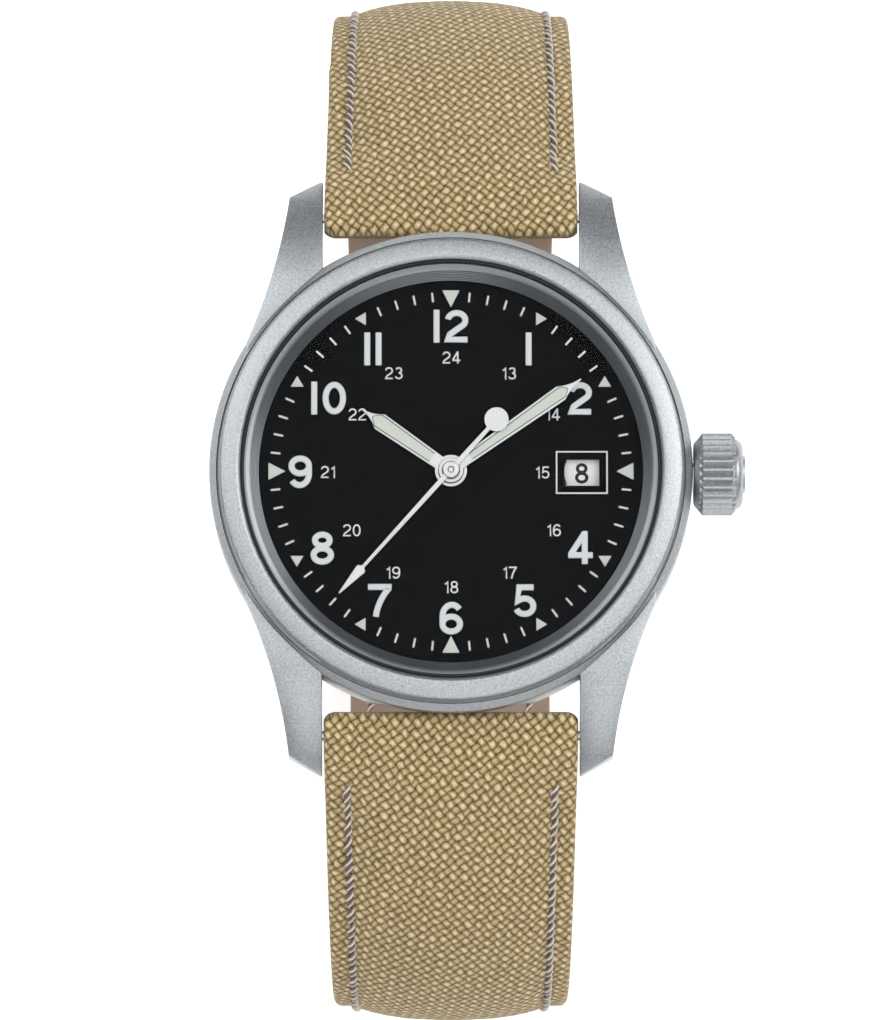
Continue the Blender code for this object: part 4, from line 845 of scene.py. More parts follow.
def ring_group():
    """Copies of an object's mesh on a circle about Z, each turned with its place."""
    group, given, result = new_group("ring_of_copies", [
        ("Geometry", "NodeSocketGeometry", None), ("Piece", "NodeSocketObject", None),
        ("Count", "NodeSocketInt", 60), ("Skip every", "NodeSocketInt", 0),
        ("Finish", "NodeSocketMaterial", None)])
    row = add(group, "GeometryNodeMeshLine", [("Count", given.outputs["Count"])], in_Offset=(0.0, 0.0, 0.0))
    index = add(group, "GeometryNodeInputIndex")
    step = add(group, "ShaderNodeMath", [(1, given.outputs["Count"])], operation="DIVIDE", in_0=-TAU)
    turn = add(group, "ShaderNodeMath", [(0, index.outputs[0]), (1, step.outputs[0])], operation="MULTIPLY")
    euler = add(group, "ShaderNodeCombineXYZ", [("Z", turn.outputs[0])])
    rest = add(group, "ShaderNodeMath", [(0, index.outputs[0]), (1, given.outputs["Skip every"])],
               operation="MODULO")
    keep_one = add(group, "FunctionNodeCompare", [(0, rest.outputs[0])], data_type="FLOAT",
                   operation="GREATER_THAN", in_1=0.5)
    piece = add(group, "GeometryNodeObjectInfo", [("Object", given.outputs["Piece"])])
    none = add(group, "FunctionNodeCompare", [(2, given.outputs["Skip every"])], data_type="INT",
               operation="EQUAL", in_3=0)
    either = add(group, "FunctionNodeBooleanMath", [(0, keep_one.outputs[0]), (1, none.outputs[0])],
                 operation="OR")
    copies = add(group, "GeometryNodeInstanceOnPoints",
                 [("Points", row.outputs[0]), ("Selection", either.outputs[0]),
                  ("Instance", piece.outputs["Geometry"]), ("Rotation", euler.outputs[0])])
    real = add(group, "GeometryNodeRealizeInstances", [(0, copies.outputs[0])])
    painted = add(group, "GeometryNodeSetMaterial", [("Geometry", real.outputs[0]),
                                                     ("Material", given.outputs["Finish"])])
    group.links.new(painted.outputs[0], result.inputs[0])
    return group


RING = ring_group()


def ring_of(mesh, count, finish, skip=0):
    """A mesh repeated round Z."""
    piece = bpy.data.objects.new("ring_piece", mesh)
    bpy.context.scene.collection.objects.link(piece)
    empty = bpy.data.meshes.new("empty")
    ring = grown(RING, empty, {"Piece": piece, "Count": count, "Skip every": skip, "Finish": FINISH[finish]})
    bpy.data.objects.remove(piece)
    return ring


# %% Ticks, triangles and the date
TICK_WIDE, TICK_FROM, TICK_TO = 0.15, 13.48, 14.23
half_tick = TICK_WIDE / 2
tick = plate([[(-half_tick, TICK_FROM), (half_tick, TICK_FROM), (half_tick, TICK_TO), (-half_tick, TICK_TO)]],
             SUNK, INK_TOP)
keep("minute_ticks", ring_of(tick, 60, "white_ink", 5), "white_ink", "case")


def triangle(points, high):
    return bevelled(plate([points], SUNK, high), 0.03, 2)


LUME_TOP = DIAL_Z + 0.12
quarter_marks = []
for degrees in (0, 90, 180, 270):
    mark = triangle([(-0.68, 14.34), (0.68, 14.34), (0.0, 13.0)], LUME_TOP)
    mark.transform(Matrix.Rotation(math.radians(degrees), 4, "Z"))
    quarter_marks.append(mark)
# The small triangles point along the dial's own axes, and not towards its middle.
POINTING = {1: 0, 2: 90, 4: -90, 5: 0, 7: 180, 8: -90, 10: 90, 11: 180}
for hour, pointing in POINTING.items():
    centre = polar(13.96, 90.0 - 30.0 * hour)
    corners = [polar(0.57, pointing, centre), polar(0.585, pointing + 119.0, centre),
               polar(0.585, pointing - 119.0, centre)]
    quarter_marks.append(triangle(corners, LUME_TOP))
keep("hour_triangles", merged(quarter_marks), "lume", "case")
outer_frame = rectangle(WINDOW, (4.07, 3.38))
inner_frame = rectangle(WINDOW, (3.85, 3.16))
keep("date_frame", plate([outer_frame, inner_frame], SUNK, INK_TOP), "white_ink", "case")
date_low, date_high = span("date_ring")
DAYS, SHOWN = 31, 8       # days on the disc, and the one in the window
DISC_R, TOOTH_R, TOOTH = 11.9, 8.8, 0.35
disc_teeth = [polar(TOOTH_R + (TOOTH if i % 2 else 0.0), i * 180.0 / DAYS) for i in range(2 * DAYS)]
disc = plate([arc((0, 0), (DISC_R, DISC_R), 0, 357.0, 119), disc_teeth], date_low[2], date_high[2])
keep("date_disc", bevelled(disc, 0.03, 1), "white_lacquer", "date_ring", ["date_ring"])
dates = []
for day in range(1, DAYS + 1):
    narrow = 0.95 if day < 10 else 0.72
    mesh = number(str(day), (0.0, 0.0), 1.6, 0.25, 0.0, 0.03, 0.005, False, 0.13, narrow)
    turn = math.radians((day - SHOWN) * 360.0 / DAYS)
    mesh.transform(Matrix.Rotation(turn, 4, "Z") @ Matrix.Translation((WINDOW[0], WINDOW[1], date_high[2])))
    dates.append(mesh)
keep("date_numbers", merged(dates), "black_ink", "date_ring")

# %% [markdown]
# ## Hands
# The hour and minute hands are swords: they widen to a shoulder and run out in a hollow-sided needle. Each is
# a thin plate with a bevelled edge, and a pale inlay of luminous paint stands just proud of it. A narrow
# black
# plate round the inlay is painted shade: it stands in for the shadow line of the recess that the paint fills.


# %% Hands
def sword(base_half, shoulder, shoulder_half, tip, inset=0.0, start=0.0):
    """A sword hand's outline; with an inset it is the blunt outline of the recess inside the blade."""
    waist = (shoulder_half * 0.36, shoulder + (tip - shoulder) * 0.45)
    point = arc_through((shoulder_half - inset, shoulder), waist, (0.05, tip), 14)
    if inset:
        point = [(shoulder_half - inset, shoulder), (0.07, min(tip, shoulder + (shoulder_half - inset)))]
    right = [(base_half - inset, start)] + point
    return right + [(-x, y) for x, y in reversed(right)]


def turned_hand(name, pieces, degrees, body, replaces):
    for suffix, mesh, finish in pieces:
        mesh.transform(Matrix.Rotation(-math.radians(degrees), 4, "Z"))
        keep(name + suffix, mesh, finish, body, replaces if suffix == "_blade" else ())


hour_low, hour_high = span("hour_hand")
minute_low, minute_high = span("minute_hand")
second_low, second_high = span("seconds_hand")
HOUR_TURN, MINUTE_TURN, SECOND_TURN = 304.8, 54.8, 222.0
for name, low, high, size, lume, hub_r, bore, turn, body in (
        ("hour_hand", hour_low[2], hour_high[2], (0.5, 6.81, 0.70, 8.47), (1.81, 6.95), 1.25, 0.98,
         HOUR_TURN, "hour"),
        ("minute_hand", minute_low[2], minute_high[2], (0.4, 10.58, 0.62, 12.5), (1.88, 10.75), 0.95, 0.69,
         MINUTE_TURN, "minute")):
    blade = plate([sword(*size)], low, high)
    boss = turned([(0.0, low), (hub_r, low), (hub_r, high), (0.0, high)], 96, ring=False)
    blade = combined(blade, boss, "UNION")
    hole = turned([(0.0, low - 1), (bore, low - 1), (bore, high + 1), (0.0, high + 1)], 64, ring=False)
    blade = combined(blade, hole, "DIFFERENCE")
    start = lume[0]
    base = size[0] + (size[2] - size[0]) * start / size[1]
    # A thin black plate round the inlay is painted shade, standing in for the recess's shadow line.
    painted_shadow_line = plate([sword(base, lume[1], size[2], lume[1] + 0.6, 0.15, start)], high - 0.02, high + 0.008)
    inlay = plate([sword(base, lume[1], size[2], lume[1] + 0.6, 0.21, start)], high - 0.02, high + 0.035)
    turned_hand(name, [("_blade", bevelled(blade, 0.045, 2), "hand_steel"), ("_moat", painted_shadow_line, "black_ink"),
                       ("_lume", bevelled(inlay, 0.02, 1), "lume")], turn, body, [name])
tail, disc_r = 5.35, 0.95
rod = [(0.2, 0.0), (0.115, 10.3), (0.41, 10.5), (0.4, 10.62), (0.05, 13.1)]
needle = rod + [(-x, y) for x, y in reversed(rod)]
needle += [(-0.15, -tail), (0.15, -tail)]
low, high = second_low[2], second_high[2]
boss = turned([(0.0, low - 0.01), (0.65, low - 0.01), (0.65, high + 0.12), (0.6, high + 0.17),
               (0.0, high + 0.17)], 64, ring=False)
seconds = combined(plate([needle], low, low + 0.15), boss, "UNION")
weight = turned([(0.0, low - 0.005), (disc_r, low - 0.005), (disc_r, high + 0.005), (0.0, high + 0.005)], 64,
                ring=False)
weight.transform(Matrix.Translation((0.0, -tail, 0.0)))
seconds = combined(seconds, weight, "UNION")
hole = turned([(0.0, low - 1), (0.26, low - 1), (0.26, 9.0), (0.0, 9.0)], 32, ring=False)
seconds = combined(seconds, hole, "DIFFERENCE")
turned_hand("seconds_hand", [("_blade", bevelled(seconds, 0.03, 1), "hand_steel")], SECOND_TURN, "seconds",
            ["seconds_hand"])

# %% [markdown]
# ## Crown
# The crown is a turned core with a tapered foot and a domed cap, and its grip is one ridge repeated round
# it. Modelling the ridges gives real teeth with pointed ends, where a bump would leave the outline round. The
# ridge is drawn about Z like every turned piece, and the finished crown is laid along the stem.

# %% Crown
CROWN_X = crown_low[0]
RIDGES = 28
ridge = bmesh.new()
ridge_rows = []
for x, top, half_top in ((0.0, 2.9, 0.05), (0.3, 3.25, 0.1), (2.6, 3.25, 0.1), (2.9, 2.9, 0.05)):
    half_foot = 0.33 if 0.1 < x < 2.8 else 0.2
    section = [(2.7, -half_foot), (2.86, -half_foot), (top - 0.03, -half_top), (top, -half_top * 0.4),
               (top, half_top * 0.4), (top - 0.03, half_top), (2.86, half_foot), (2.7, half_foot)]
    ridge_rows.append([ridge.verts.new((r, y, CROWN_X + 0.4 + x)) for r, y in section])
for here, there in zip(ridge_rows, ridge_rows[1:]):
    for j in range(8):
        ridge.faces.new((here[j], here[(j + 1) % 8], there[(j + 1) % 8], there[j]))
ridge.faces.new(ridge_rows[0][::-1])
ridge.faces.new(ridge_rows[-1])
ridges = ring_of(mesh_from(ridge), RIDGES, "blasted_steel")
cap = arc_through((2.72, CROWN_X + 3.45), (2.5, CROWN_X + 3.72), (1.9, CROWN_X + 3.85), 8)
core = turned([(1.35, CROWN_X), (2.35, CROWN_X), (2.5, CROWN_X + 0.06), (2.88, CROWN_X + 0.42),
               (2.88, CROWN_X + 3.2), (2.8, CROWN_X + 3.3), (2.74, CROWN_X + 3.32)] + cap
              + [(1.5, CROWN_X + 3.87), (1.46, CROWN_X + 4.02), (1.38, CROWN_X + 4.05), (0.0, CROWN_X + 4.05),
                 (0.0, CROWN_X + 3.3), (0.53, CROWN_X + 3.3), (0.53, CROWN_X + 2.3),
                 (1.35, CROWN_X + 2.3)], 192)
keep("crown", lying(merged([core, ridges]), z=STEM_Z), "blasted_steel", "crown", ["crown"])

# %% [markdown]
# ## Case back
# The back screws in, so it has a threaded collar inside and six notches in its edge for the opening tool.

# %% Case back
back = turned([(0.0, 0.0), (15.1, 0.0), (15.25, 0.03), (16.3, 0.5), (16.38, 0.56), (16.4, 0.64), (16.4, 1.1),
               (15.55, 1.1), (15.55, 2.3), (14.9, 2.3), (14.9, 1.0), (0.0, 1.0)], 192, ring=False)
for step in range(6):
    notch = plate([rectangle((0.0, 16.0), (3.0, 3.0))], -1.0, 0.45)
    notch.transform(Matrix.Rotation(TAU * step / 6, 4, "Z"))
    back = combined(back, notch, "DIFFERENCE")
keep("case_back", back, "blasted_steel", "case", ["caseback"])

# %% [markdown]
# ## Strap
# Each half of the strap is drawn flat, with its length along Y and its outer face up, and is then bent onto
# the loop that a closed strap makes. Drawing it flat keeps the holes, the weave and the stitches simple. The
# section is a thin flange outside each stitch line and a padded crown between them. At the bar the canvas
# turns round the pin and ends in a small roll.

# %% The strap's loop
LOOP_WIDE, LOOP_Z, LOOP_RISE, LOOP_DROP = 39.8, -18.6, 25.1, 47.4
LENGTHS = {1: 75.0, -1: 108.0}      # buckle half and tail half
WIDE, TAPER, TAPER_LENGTH = 20.0, 3.0, 75.0
HALF_THICK, PADDING, PAD_LENGTH = 1.25, 0.75, 62.0
POINT_FROM, POINT_LENGTH = 97.0, 11.0     # the tail's rounded point
EDGE = 1.75                         # from the strap's edge in to the stitches
NOSE, NOSE_R = (-1.3, 1.0), 0.9     # the roll of canvas in front of the bar


def loop_point(turn):
    """The place on the loop at an angle, as (y, z)."""
    drop = LOOP_RISE if turn > 0 else LOOP_DROP
    return LOOP_WIDE * math.cos(turn), LOOP_Z + drop * math.sin(turn)


def walk_loop(step=0.002):
    """Distances along the strap's middle line from the spring bar, and the loop's angle at each."""
    turn = math.acos(BAR_Y / LOOP_WIDE)
    distances, turns = [0.0], [turn]
    while turn > -math.pi / 2 - 0.6:
        y0, z0 = loop_point(turn)
        turn -= step
        y1, z1 = loop_point(turn)
        distances.append(distances[-1] + math.hypot(y1 - y0, z1 - z0))
        turns.append(turn)
    return distances, turns


WALK, TURNS = walk_loop()


def strap_frame(distance):
    """The place on the loop at a distance, and the directions along the strap and out of it, as (y, z)."""
    i = min(max(bisect.bisect_right(WALK, distance) - 1, 0), len(WALK) - 2)
    share = min(max((distance - WALK[i]) / (WALK[i + 1] - WALK[i]), 0.0), 1.0)
    turn = TURNS[i] + (TURNS[i + 1] - TURNS[i]) * share
    y, z = loop_point(turn)
    (y0, z0), (y1, z1) = loop_point(turn + 0.01), loop_point(turn - 0.01)
    along = Vector((y1 - y0, z1 - z0)).normalized()
    return y, z, along


def bent(mesh, side):
    """Bend a flat piece onto the loop; what lies past an end carries straight on."""
    last = LENGTHS[side]
    for vertex in mesh.vertices:
        x, distance, out = vertex.co
        y, z, along = strap_frame(min(max(distance, 0.0), last))
        past = distance - min(max(distance, 0.0), last)
        vertex.co = (x, side * (y + along.x * past - along.y * out), z + along.y * past + along.x * out)
    if side < 0:
        mesh.flip_normals()
    mesh.update()
    return mesh


def half_thick(distance):
    """Half the strap's thickness, which the padding swells towards the case."""
    return HALF_THICK + PADDING * max(0.0, 1.0 - distance / PAD_LENGTH)


def half_width(distance, pointed):
    """Half the strap's width: a long taper, the tail's point, and the roll's rounded corners."""
    half = (WIDE - TAPER * min(1.0, max(0.0, distance) / TAPER_LENGTH)) / 2.0
    if pointed and distance > POINT_FROM:
        half *= math.sqrt(max(0.003, 1.0 - ((distance - POINT_FROM) / POINT_LENGTH) ** 2.4))
    if distance < NOSE[0]:
        half -= NOSE_R - math.sqrt(max(0.0, NOSE_R ** 2 - (NOSE[0] - distance) ** 2))
    return half


def eased(value):
    """A smooth step from 0 to 1."""
    value = min(max(value, 0.0), 1.0)
    return value * value * (3.0 - 2.0 * value)


def canvas_heights(distance, side):
    """The canvas's underside, its flange and its crown at a distance, as heights off the middle line."""
    thick = half_thick(distance)
    eye = 1.4 if side > 0 else 0.0
    low, high = -thick + 1.0, thick
    if distance < 1.36:
        wall = math.sqrt(max(0.0, 1.36 ** 2 - distance ** 2))
        low = min(low, -wall) if distance > 0.0 else -wall
    if distance < 1.7:
        high = NOSE[1] + NOSE_R + (high - NOSE[1] - NOSE_R) * eased((distance - NOSE[0]) / 3.0)
    if distance < NOSE[0]:
        bow = math.sqrt(max(0.0004, NOSE_R ** 2 - (distance - NOSE[0]) ** 2))
        low, high = min(low if distance > -1.36 else NOSE[1], NOSE[1] - bow), NOSE[1] + bow
    past = distance - LENGTHS[side]
    if eye and past > -eye:
        bow = math.sqrt(max(0.0004, eye ** 2 - past ** 2))
        low, high = min(low, -bow), (max(high, bow) if past < 0 else bow)
    fading = eased((distance - 1.0) / 6.0) * (1.0 - eased((distance - LENGTHS[side] + 8.0) / 8.0))
    drop = fading * (1.7 * max(0.12, 1.0 - distance / 110.0))
    return low, high - drop, high


def canvas_ring(distance, side):
    """One section of the canvas, from the middle of its underside round to where it began."""
    low, flange, crown = canvas_heights(distance, side)
    half = half_width(distance, side < 0)
    soft = min(0.5, (flange - low) * 0.49, half * 0.45)
    edge = min(EDGE, half * 0.3)
    rise = crown - flange
    right = [(half * 0.5, low), (half - soft, low)]
    right += arc((half - soft, low + soft), (soft, soft), -60, 0, 2)
    right += arc((half - soft, flange - soft), (soft, soft), 0, 90, 5)
    right.append((half - edge * 0.6, flange))
    groove = half - edge
    right += [(groove + 0.35, flange), (groove + 0.12, flange - rise * 0.05), (groove - 0.12, flange)]
    span_in = groove * 0.9
    for share in (0.04, 0.1, 0.2, 0.36, 0.6, 1.0):
        right.append((groove - span_in * share, flange + rise * math.sin(share * math.pi / 2) ** 0.62))
    right += [(max(0.05, (groove - span_in) * share), crown) for share in (0.66, 0.33)]
    left = [(-x, out) for x, out in reversed(right)]
    return [(0.0, low)] + right + [(0.0, crown)] + left


def loft(rings, uv=True):
    """One closed skin through rings of (x, out) points at distances, with a UV map in millimetres."""
    work = bmesh.new()
    rows = [[work.verts.new((x, distance, out)) for x, out in ring] for distance, ring in rings]
    layer = work.loops.layers.uv.new("cloth_mm") if uv else None
    count = len(rows[0])
    girths = []
    for _, ring in rings:
        girth = [0.0]
        for j in range(count):
            (x0, z0), (x1, z1) = ring[j], ring[(j + 1) % count]
            girth.append(girth[-1] + math.hypot(x1 - x0, z1 - z0))
        girths.append([g - girth[-1] / 2.0 for g in girth])
    for i in range(len(rows) - 1):
        for j in range(count):
            k = (j + 1) % count
            face = work.faces.new((rows[i][j], rows[i][k], rows[i + 1][k], rows[i + 1][j]))
            if uv:
                places = ((i, j), (i, j + 1), (i + 1, j + 1), (i + 1, j))
                for corner, (a, b) in zip(face.loops, places):
                    corner[layer].uv = (girths[a][b], rings[a][0])
    work.faces.new(rows[0][::-1])
    work.faces.new(rows[-1])
    bmesh.ops.recalc_face_normals(work, faces=work.faces)
    mesh = bpy.data.meshes.new("loft")
    work.to_mesh(mesh)
    work.free()
    return mesh


def stations(start, end, pitch, fine_start=0.0, fine_end=0.0):
    """Distances from start to end, closer together over a round start or end."""
    places = []
    if fine_start:
        places += [start + fine_start * (1.0 - math.cos(math.pi / 2 * i / 10)) for i in range(10)]
    first, last = start + fine_start, end - fine_end
    count = round((last - first) / pitch)
    places += [first + (last - first) * i / count for i in range(count + 1)]
    if fine_end:
        places += [last + fine_end * math.sin(math.pi / 2 * i / 10) for i in range(1, 11)]
    return places


# %% Canvas and lining
def upright(radius, distance):
    """A round cutter through the flat strap."""
    tool = turned([(0.0, -6.0), (radius, -6.0), (radius, 6.0), (0.0, 6.0)], 32, ring=False)
    tool.transform(Matrix.Translation((0.0, distance, 0.0)))
    return tool


def crossways(radius, distance):
    """A round cutter across the flat strap."""
    tool = turned([(0.0, -12.0), (radius, -12.0), (radius, 12.0), (0.0, 12.0)], 32, ring=False)
    return lying(tool, y=distance)


FIRST_HOLE, HOLE_PITCH, HOLE_COUNT = 84.0, 6.3, 7
HOLES = [FIRST_HOLE - HOLE_PITCH * i for i in range(HOLE_COUNT)]
LINING = 0.95         # how thick the leather is
for side, label in ((1, "12"), (-1, "6")):
    length = LENGTHS[side]
    end, round_end = (length + 1.395, 1.3) if side > 0 else (length - 0.02, 6.0)
    canvas_skin = loft([(d, canvas_ring(d, side)) for d in stations(-2.19, end, 1.0, 2.1, round_end)])
    lining_end = length - 1.65 if side > 0 else length - 0.03
    leather = []
    for d in stations(2.3, lining_end, 1.0, 0.0, 0.0 if side > 0 else 6.0):
        half, low = half_width(d, side < 0), -half_thick(d)
        soft = min(0.3, half * 0.4)
        right = [(half - soft, low), (half - soft * 0.3, low + soft * 0.3), (half, low + soft),
                 (half, low + LINING)]
        left = [(-x, z) for x, z in reversed(right)]
        leather.append((d, [(0.0, low)] + right + [(0.0, low + LINING)] + left))
    leather_skin = loft(leather, uv=False)
    canvas_skin = combined(canvas_skin, crossways(0.86, 0.0), "DIFFERENCE")
    cutters = [upright(1.0, d) for d in HOLES]
    if side > 0:
        canvas_skin = combined(canvas_skin, crossways(0.51, length), "DIFFERENCE")
        cutters = [plate([rectangle((0.0, length + 0.25), (3.2, 7.5))], -6.0, 6.0)]
    for cutter in cutters:
        leather_skin = combined(leather_skin, cutter.copy(), "DIFFERENCE")
        canvas_skin = combined(canvas_skin, cutter, "DIFFERENCE")
    body = "strap_" + label
    piece = keep(body + "_cloth", bent(canvas_skin, side), "sand_canvas", body,
                 [body + "_canvas"], angle=50.0)
    keep(body + "_leather", bent(leather_skin, side), "taupe_leather", body,
         [body + "_lining"], angle=40.0)

# %% [markdown]
# ## Stitches
# The seam is one stitch of twisted thread, repeated along lines of points. Each stitch is a short tube with
# an oval section that turns as it goes, which is what two plies look like, and its ends dive into the cloth.
# A node group puts it on every point, with a small random turn from a fixed seed, and the seam is bent with
# the strap. A mesh attribute is high on the thread's ridges, and the finish paints shade where it is low and
# a highlight where it is high.

# %% One stitch and the seam group
def stitch_mesh(length=1.66, wide=0.36, thin=0.2, rows=17, sides=10):
    work = bmesh.new()
    ply_and_shade = work.verts.layers.float.new("ply_and_shade")
    rings = []
    for i in range(rows):
        share = i / (rows - 1)
        lift = 0.17 * math.sin(math.pi * share) ** 0.6 - 0.12
        grow = 0.45 + 0.55 * math.sin(math.pi * share) ** 0.5
        sway = 0.1 * math.cos(math.pi * share)
        ring = []
        for j in range(sides):
            turn = TAU * j / sides
            x, z = wide * grow * math.cos(turn), thin * grow * math.sin(turn)
            roll = math.pi * 1.8 * share
            x, z = x * math.cos(roll) - z * math.sin(roll), x * math.sin(roll) + z * math.cos(roll)
            vertex = work.verts.new((x + sway, (share - 0.5) * length, lift + z))
            # This value sets the thread's painted shade and highlight: dark where it is low, between the
            # plies, light on the ridges.
            vertex[ply_and_shade] = math.cos(turn) ** 4
            ring.append(vertex)
        rings.append(ring)
    for here, there in zip(rings, rings[1:]):
        for j in range(sides):
            k = (j + 1) % sides
            work.faces.new((here[j], here[k], there[k], there[j]))
    work.faces.new(rings[0][::-1])
    work.faces.new(rings[-1])
    return mesh_from(work)


def seam_group():
    group, given, result = new_group("seam_of_stitches", [
        ("Geometry", "NodeSocketGeometry", None), ("Stitch", "NodeSocketObject", None),
        ("Play", "NodeSocketFloat", 0.06), ("Seed", "NodeSocketInt", 7),
        ("Finish", "NodeSocketMaterial", None)])
    piece = add(group, "GeometryNodeObjectInfo", [("Object", given.outputs["Stitch"])])
    turn = add(group, "GeometryNodeInputNamedAttribute", data_type="FLOAT", in_Name="turn")
    least = add(group, "ShaderNodeMath", [(0, given.outputs["Play"])], operation="MULTIPLY", in_1=-1.0)
    play = add(group, "FunctionNodeRandomValue", [(2, least.outputs[0]), (3, given.outputs["Play"]),
                                                  ("Seed", given.outputs["Seed"])], data_type="FLOAT")
    total = add(group, "ShaderNodeMath", [(0, turn.outputs[0]), (1, play.outputs[1])], operation="ADD")
    flip = add(group, "GeometryNodeInputNamedAttribute", data_type="FLOAT", in_Name="flip")
    euler = add(group, "ShaderNodeCombineXYZ", [("Y", flip.outputs[0]), ("Z", total.outputs[0])])
    copies = add(group, "GeometryNodeInstanceOnPoints",
                 [("Points", given.outputs["Geometry"]), ("Instance", piece.outputs["Geometry"]),
                  ("Rotation", euler.outputs[0])])
    real = add(group, "GeometryNodeRealizeInstances", [(0, copies.outputs[0])])
    painted = add(group, "GeometryNodeSetMaterial", [("Geometry", real.outputs[0]),
                                                     ("Material", given.outputs["Finish"])])
    group.links.new(painted.outputs[0], result.inputs[0])
    return group


SEAM = seam_group()
STITCH = bpy.data.objects.new("stitch", stitch_mesh())
bpy.context.scene.collection.objects.link(STITCH)


def seam(points, name="seam"):
    """Stitches at (x, distance, out, turn, flip) places on the flat strap."""
    base = bpy.data.meshes.new(name)
    base.from_pydata([point[:3] for point in points], [], [])
    for label, place in (("turn", 3), ("flip", 4)):
        values = base.attributes.new(label, "FLOAT", "POINT")
        values.data.foreach_set("value", [point[place] for point in points])
    return grown(SEAM, base, {"Stitch": STITCH, "Play": 0.06, "Seed": 7, "Finish": FINISH["thread"]})


STITCH_PITCH = 1.62


def seam_line(side):
    """Where the seam runs on the right half of the strap: distance and x, spaced by the stitch length."""
    end = LENGTHS[side] - (9.0 if side > 0 else 1.9)
    places, distance = [], 3.5
    while distance < end:
        x = half_width(distance, side < 0) - min(EDGE, half_width(distance, side < 0) * 0.3)
        places.append((x, distance))
        slope = (half_width(distance + 0.4, side < 0) - half_width(distance - 0.4, side < 0)) / 0.8
        distance += STITCH_PITCH / math.hypot(1.0, slope)
    return places


for side, label in ((1, "12"), (-1, "6")):
    points = []
    line = seam_line(side)
    for (x, d), (x_on, d_on) in zip(line, line[1:]):
        lean = math.atan2(-(x_on - x), d_on - d)
        middle_x, middle_d = (x + x_on) / 2.0, (d + d_on) / 2.0
        _, flange, _ = canvas_heights(middle_d, side)
        for mirror in (1, -1):
            points.append((mirror * middle_x, middle_d, flange + 0.12, mirror * lean, 0.0))
            if middle_d > 8.0:
                inside = -half_thick(middle_d) + 0.11
                points.append((mirror * middle_x, middle_d, inside, -mirror * lean, math.pi))
    keep("strap_" + label + "_seam", bent(seam(points), side), "thread", "strap_" + label,
         angle=60.0)

# %% [markdown]
# ## Keepers and buckle
# The two keepers are bands of the same canvas. The buckle is a flattened steel wire bent into a frame round a
# plain bar, with a tongue that hooks over the bar.

# %% Keepers
def placed_on_strap(mesh, distance):
    """Move a stiff piece that is drawn at (x, along, out) to its place on the buckle half."""
    y, z, along = strap_frame(distance)
    frame_there = Matrix(((1, 0, 0, 0), (0, along.x, -along.y, y), (0, along.y, along.x, z), (0, 0, 0, 1)))
    mesh.transform(frame_there)
    return mesh


def rounded(x0, y0, x1, y1, radius, steps=6):
    """A rectangle's outline with round corners."""
    points = []
    for cx, cy, start in ((x1 - radius, y0 + radius, -90), (x1 - radius, y1 - radius, 0),
                          (x0 + radius, y1 - radius, 90), (x0 + radius, y0 + radius, 180)):
        points += arc((cx, cy), (radius, radius), start, start + 90, steps)
    return points


SLACK, WALL, KEEPER_HIGH = 0.3, 0.8, 5.0
ROOM = 5.0            # a keeper clears the strap as it is this far towards the case, where it is wider


def keeper(at):
    """A band round the strap, its rim folded a little inwards, at a distance along the buckle half."""
    half = half_width(at - ROOM, False) + SLACK
    low = -half_thick(at - ROOM) - SLACK
    work = bmesh.new()
    layer = work.loops.layers.uv.new("cloth_mm")
    inner = rounded(-half, low, half, low + KEEPER_HIGH, 0.6)
    outer = rounded(-half - WALL, low - WALL, half + WALL, low + (KEEPER_HIGH + WALL), 1.2)
    walls = ((inner, 2.0), (inner, 2.4), (outer, 2.4), (outer, 2.5), (outer, 1.7),
             (outer, -1.7), (outer, -2.5), (outer, -2.4), (inner, -2.4), (inner, -2.0))
    shrink = (0.0, 0.08, -0.25, -0.1, 0.0, 0.0, -0.1, -0.25, 0.08, 0.0)
    rows = []
    for (loop, along), give in zip(walls, shrink):
        middle_z = low + KEEPER_HIGH / 2.0
        row = []
        for x, z in loop:
            away = Vector((x, z - middle_z)).normalized() * give
            row.append(work.verts.new((x + away.x, along, z + away.y)))
        rows.append(row)
    count = len(inner)
    girth = [0.0]
    for j in range(count):
        girth.append(girth[-1] + math.dist(outer[j], outer[(j + 1) % count]))
    climb = [0.0]
    for here, there in zip(rows, rows[1:] + rows[:1]):
        climb.append(climb[-1] + (here[0].co - there[0].co).length)
    for i in range(len(rows)):
        here, there = rows[i], rows[(i + 1) % len(rows)]
        for j in range(count):
            k = (j + 1) % count
            face = work.faces.new((here[j], here[k], there[k], there[j]))
            corners = ((i, j), (i, j + 1), (i + 1, j + 1), (i + 1, j))
            for corner, (a, b) in zip(face.loops, corners):
                corner[layer].uv = (girth[b], climb[a])
    bmesh.ops.recalc_face_normals(work, faces=work.faces)
    mesh = bpy.data.meshes.new("keeper")
    work.to_mesh(mesh)
    work.free()
    return placed_on_strap(mesh, at)


FIXED_AT, FREE_AT = 63.0, 52.0
keep("fixed_band", keeper(FIXED_AT), "sand_canvas", "strap_12", ["fixed_keeper"], angle=60.0)
keep("free_band", keeper(FREE_AT), "sand_canvas", "free_keeper", ["free_keeper"], angle=60.0)

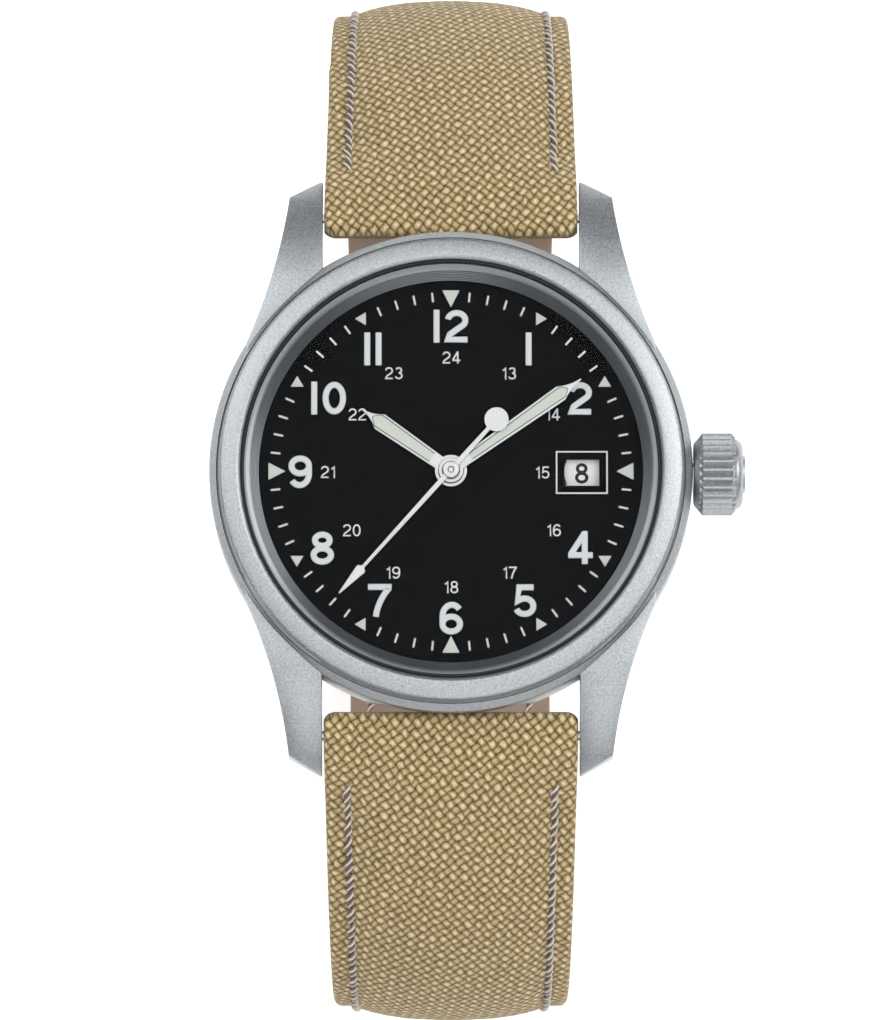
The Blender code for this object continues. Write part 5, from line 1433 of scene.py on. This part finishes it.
# %% Buckle
BUCKLE_AT = LENGTHS[1]
frame_inner, frame_outer, frame_front, frame_back, corner_r = 8.75, 10.75, 9.5, -1.2, 1.6
outline = [(frame_outer, frame_back)]
outline += arc((frame_outer - corner_r, frame_front - corner_r), (corner_r, corner_r), 0, 90, 8)
outline += arc((-frame_outer + corner_r, frame_front - corner_r), (corner_r, corner_r), 90, 180, 8)
outline += [(-frame_outer, frame_back), (-frame_inner, frame_back), (-frame_inner, frame_front - 2.0),
            (frame_inner, frame_front - 2.0), (frame_inner, frame_back)]
buckle_frame = bevelled(plate([outline], -1.0, 1.0), 0.45, 4, 50.0)
buckle_frame = combined(buckle_frame, crossways(0.47, 0.0), "DIFFERENCE")
keep("buckle_wire", placed_on_strap(buckle_frame, BUCKLE_AT), "blasted_steel", "buckle",
     ["buckle_frame"], angle=40.0)
bar_profile = [(0.0, -10.65), (0.38, -10.65), (0.45, -10.58), (0.45, 10.58), (0.38, 10.65), (0.0, 10.65)]
buckle_bar = lying(turned(bar_profile, 48, ring=False))
keep("buckle_pin", placed_on_strap(buckle_bar, BUCKLE_AT), "polished_steel", "buckle",
     ["buckle_bar"])
finger = [(0.2, 0.6), (0.8, 1.2), (1.6, 1.75), (8.0, 1.75), (8.9, 1.6), (9.3, 1.35), (9.3, 1.05), (2.2, 1.05),
          (1.4, 0.6), (0.9, 0.2)]
barrel = turned([(0.0, -1.2), (1.0, -1.2), (1.05, -1.15), (1.05, 1.15), (1.0, 1.2), (0.0, 1.2)], 48,
                ring=False)
tongue = combined(plate([finger], -0.9, 0.9), barrel, "UNION")
hole = turned([(0.0, -5.0), (0.51, -5.0), (0.51, 5.0), (0.0, 5.0)], 32, ring=False)
tongue = combined(tongue, hole, "DIFFERENCE")
tongue.transform(Matrix(((0, 0, 1, 0), (1, 0, 0, 0), (0, 1, 0, 0), (0, 0, 0, 1))))
keep("tongue", placed_on_strap(bevelled(tongue, 0.12, 2, 40.0), BUCKLE_AT), "polished_steel", "tongue",
     ["buckle_tongue"])
bpy.data.objects.remove(STITCH)
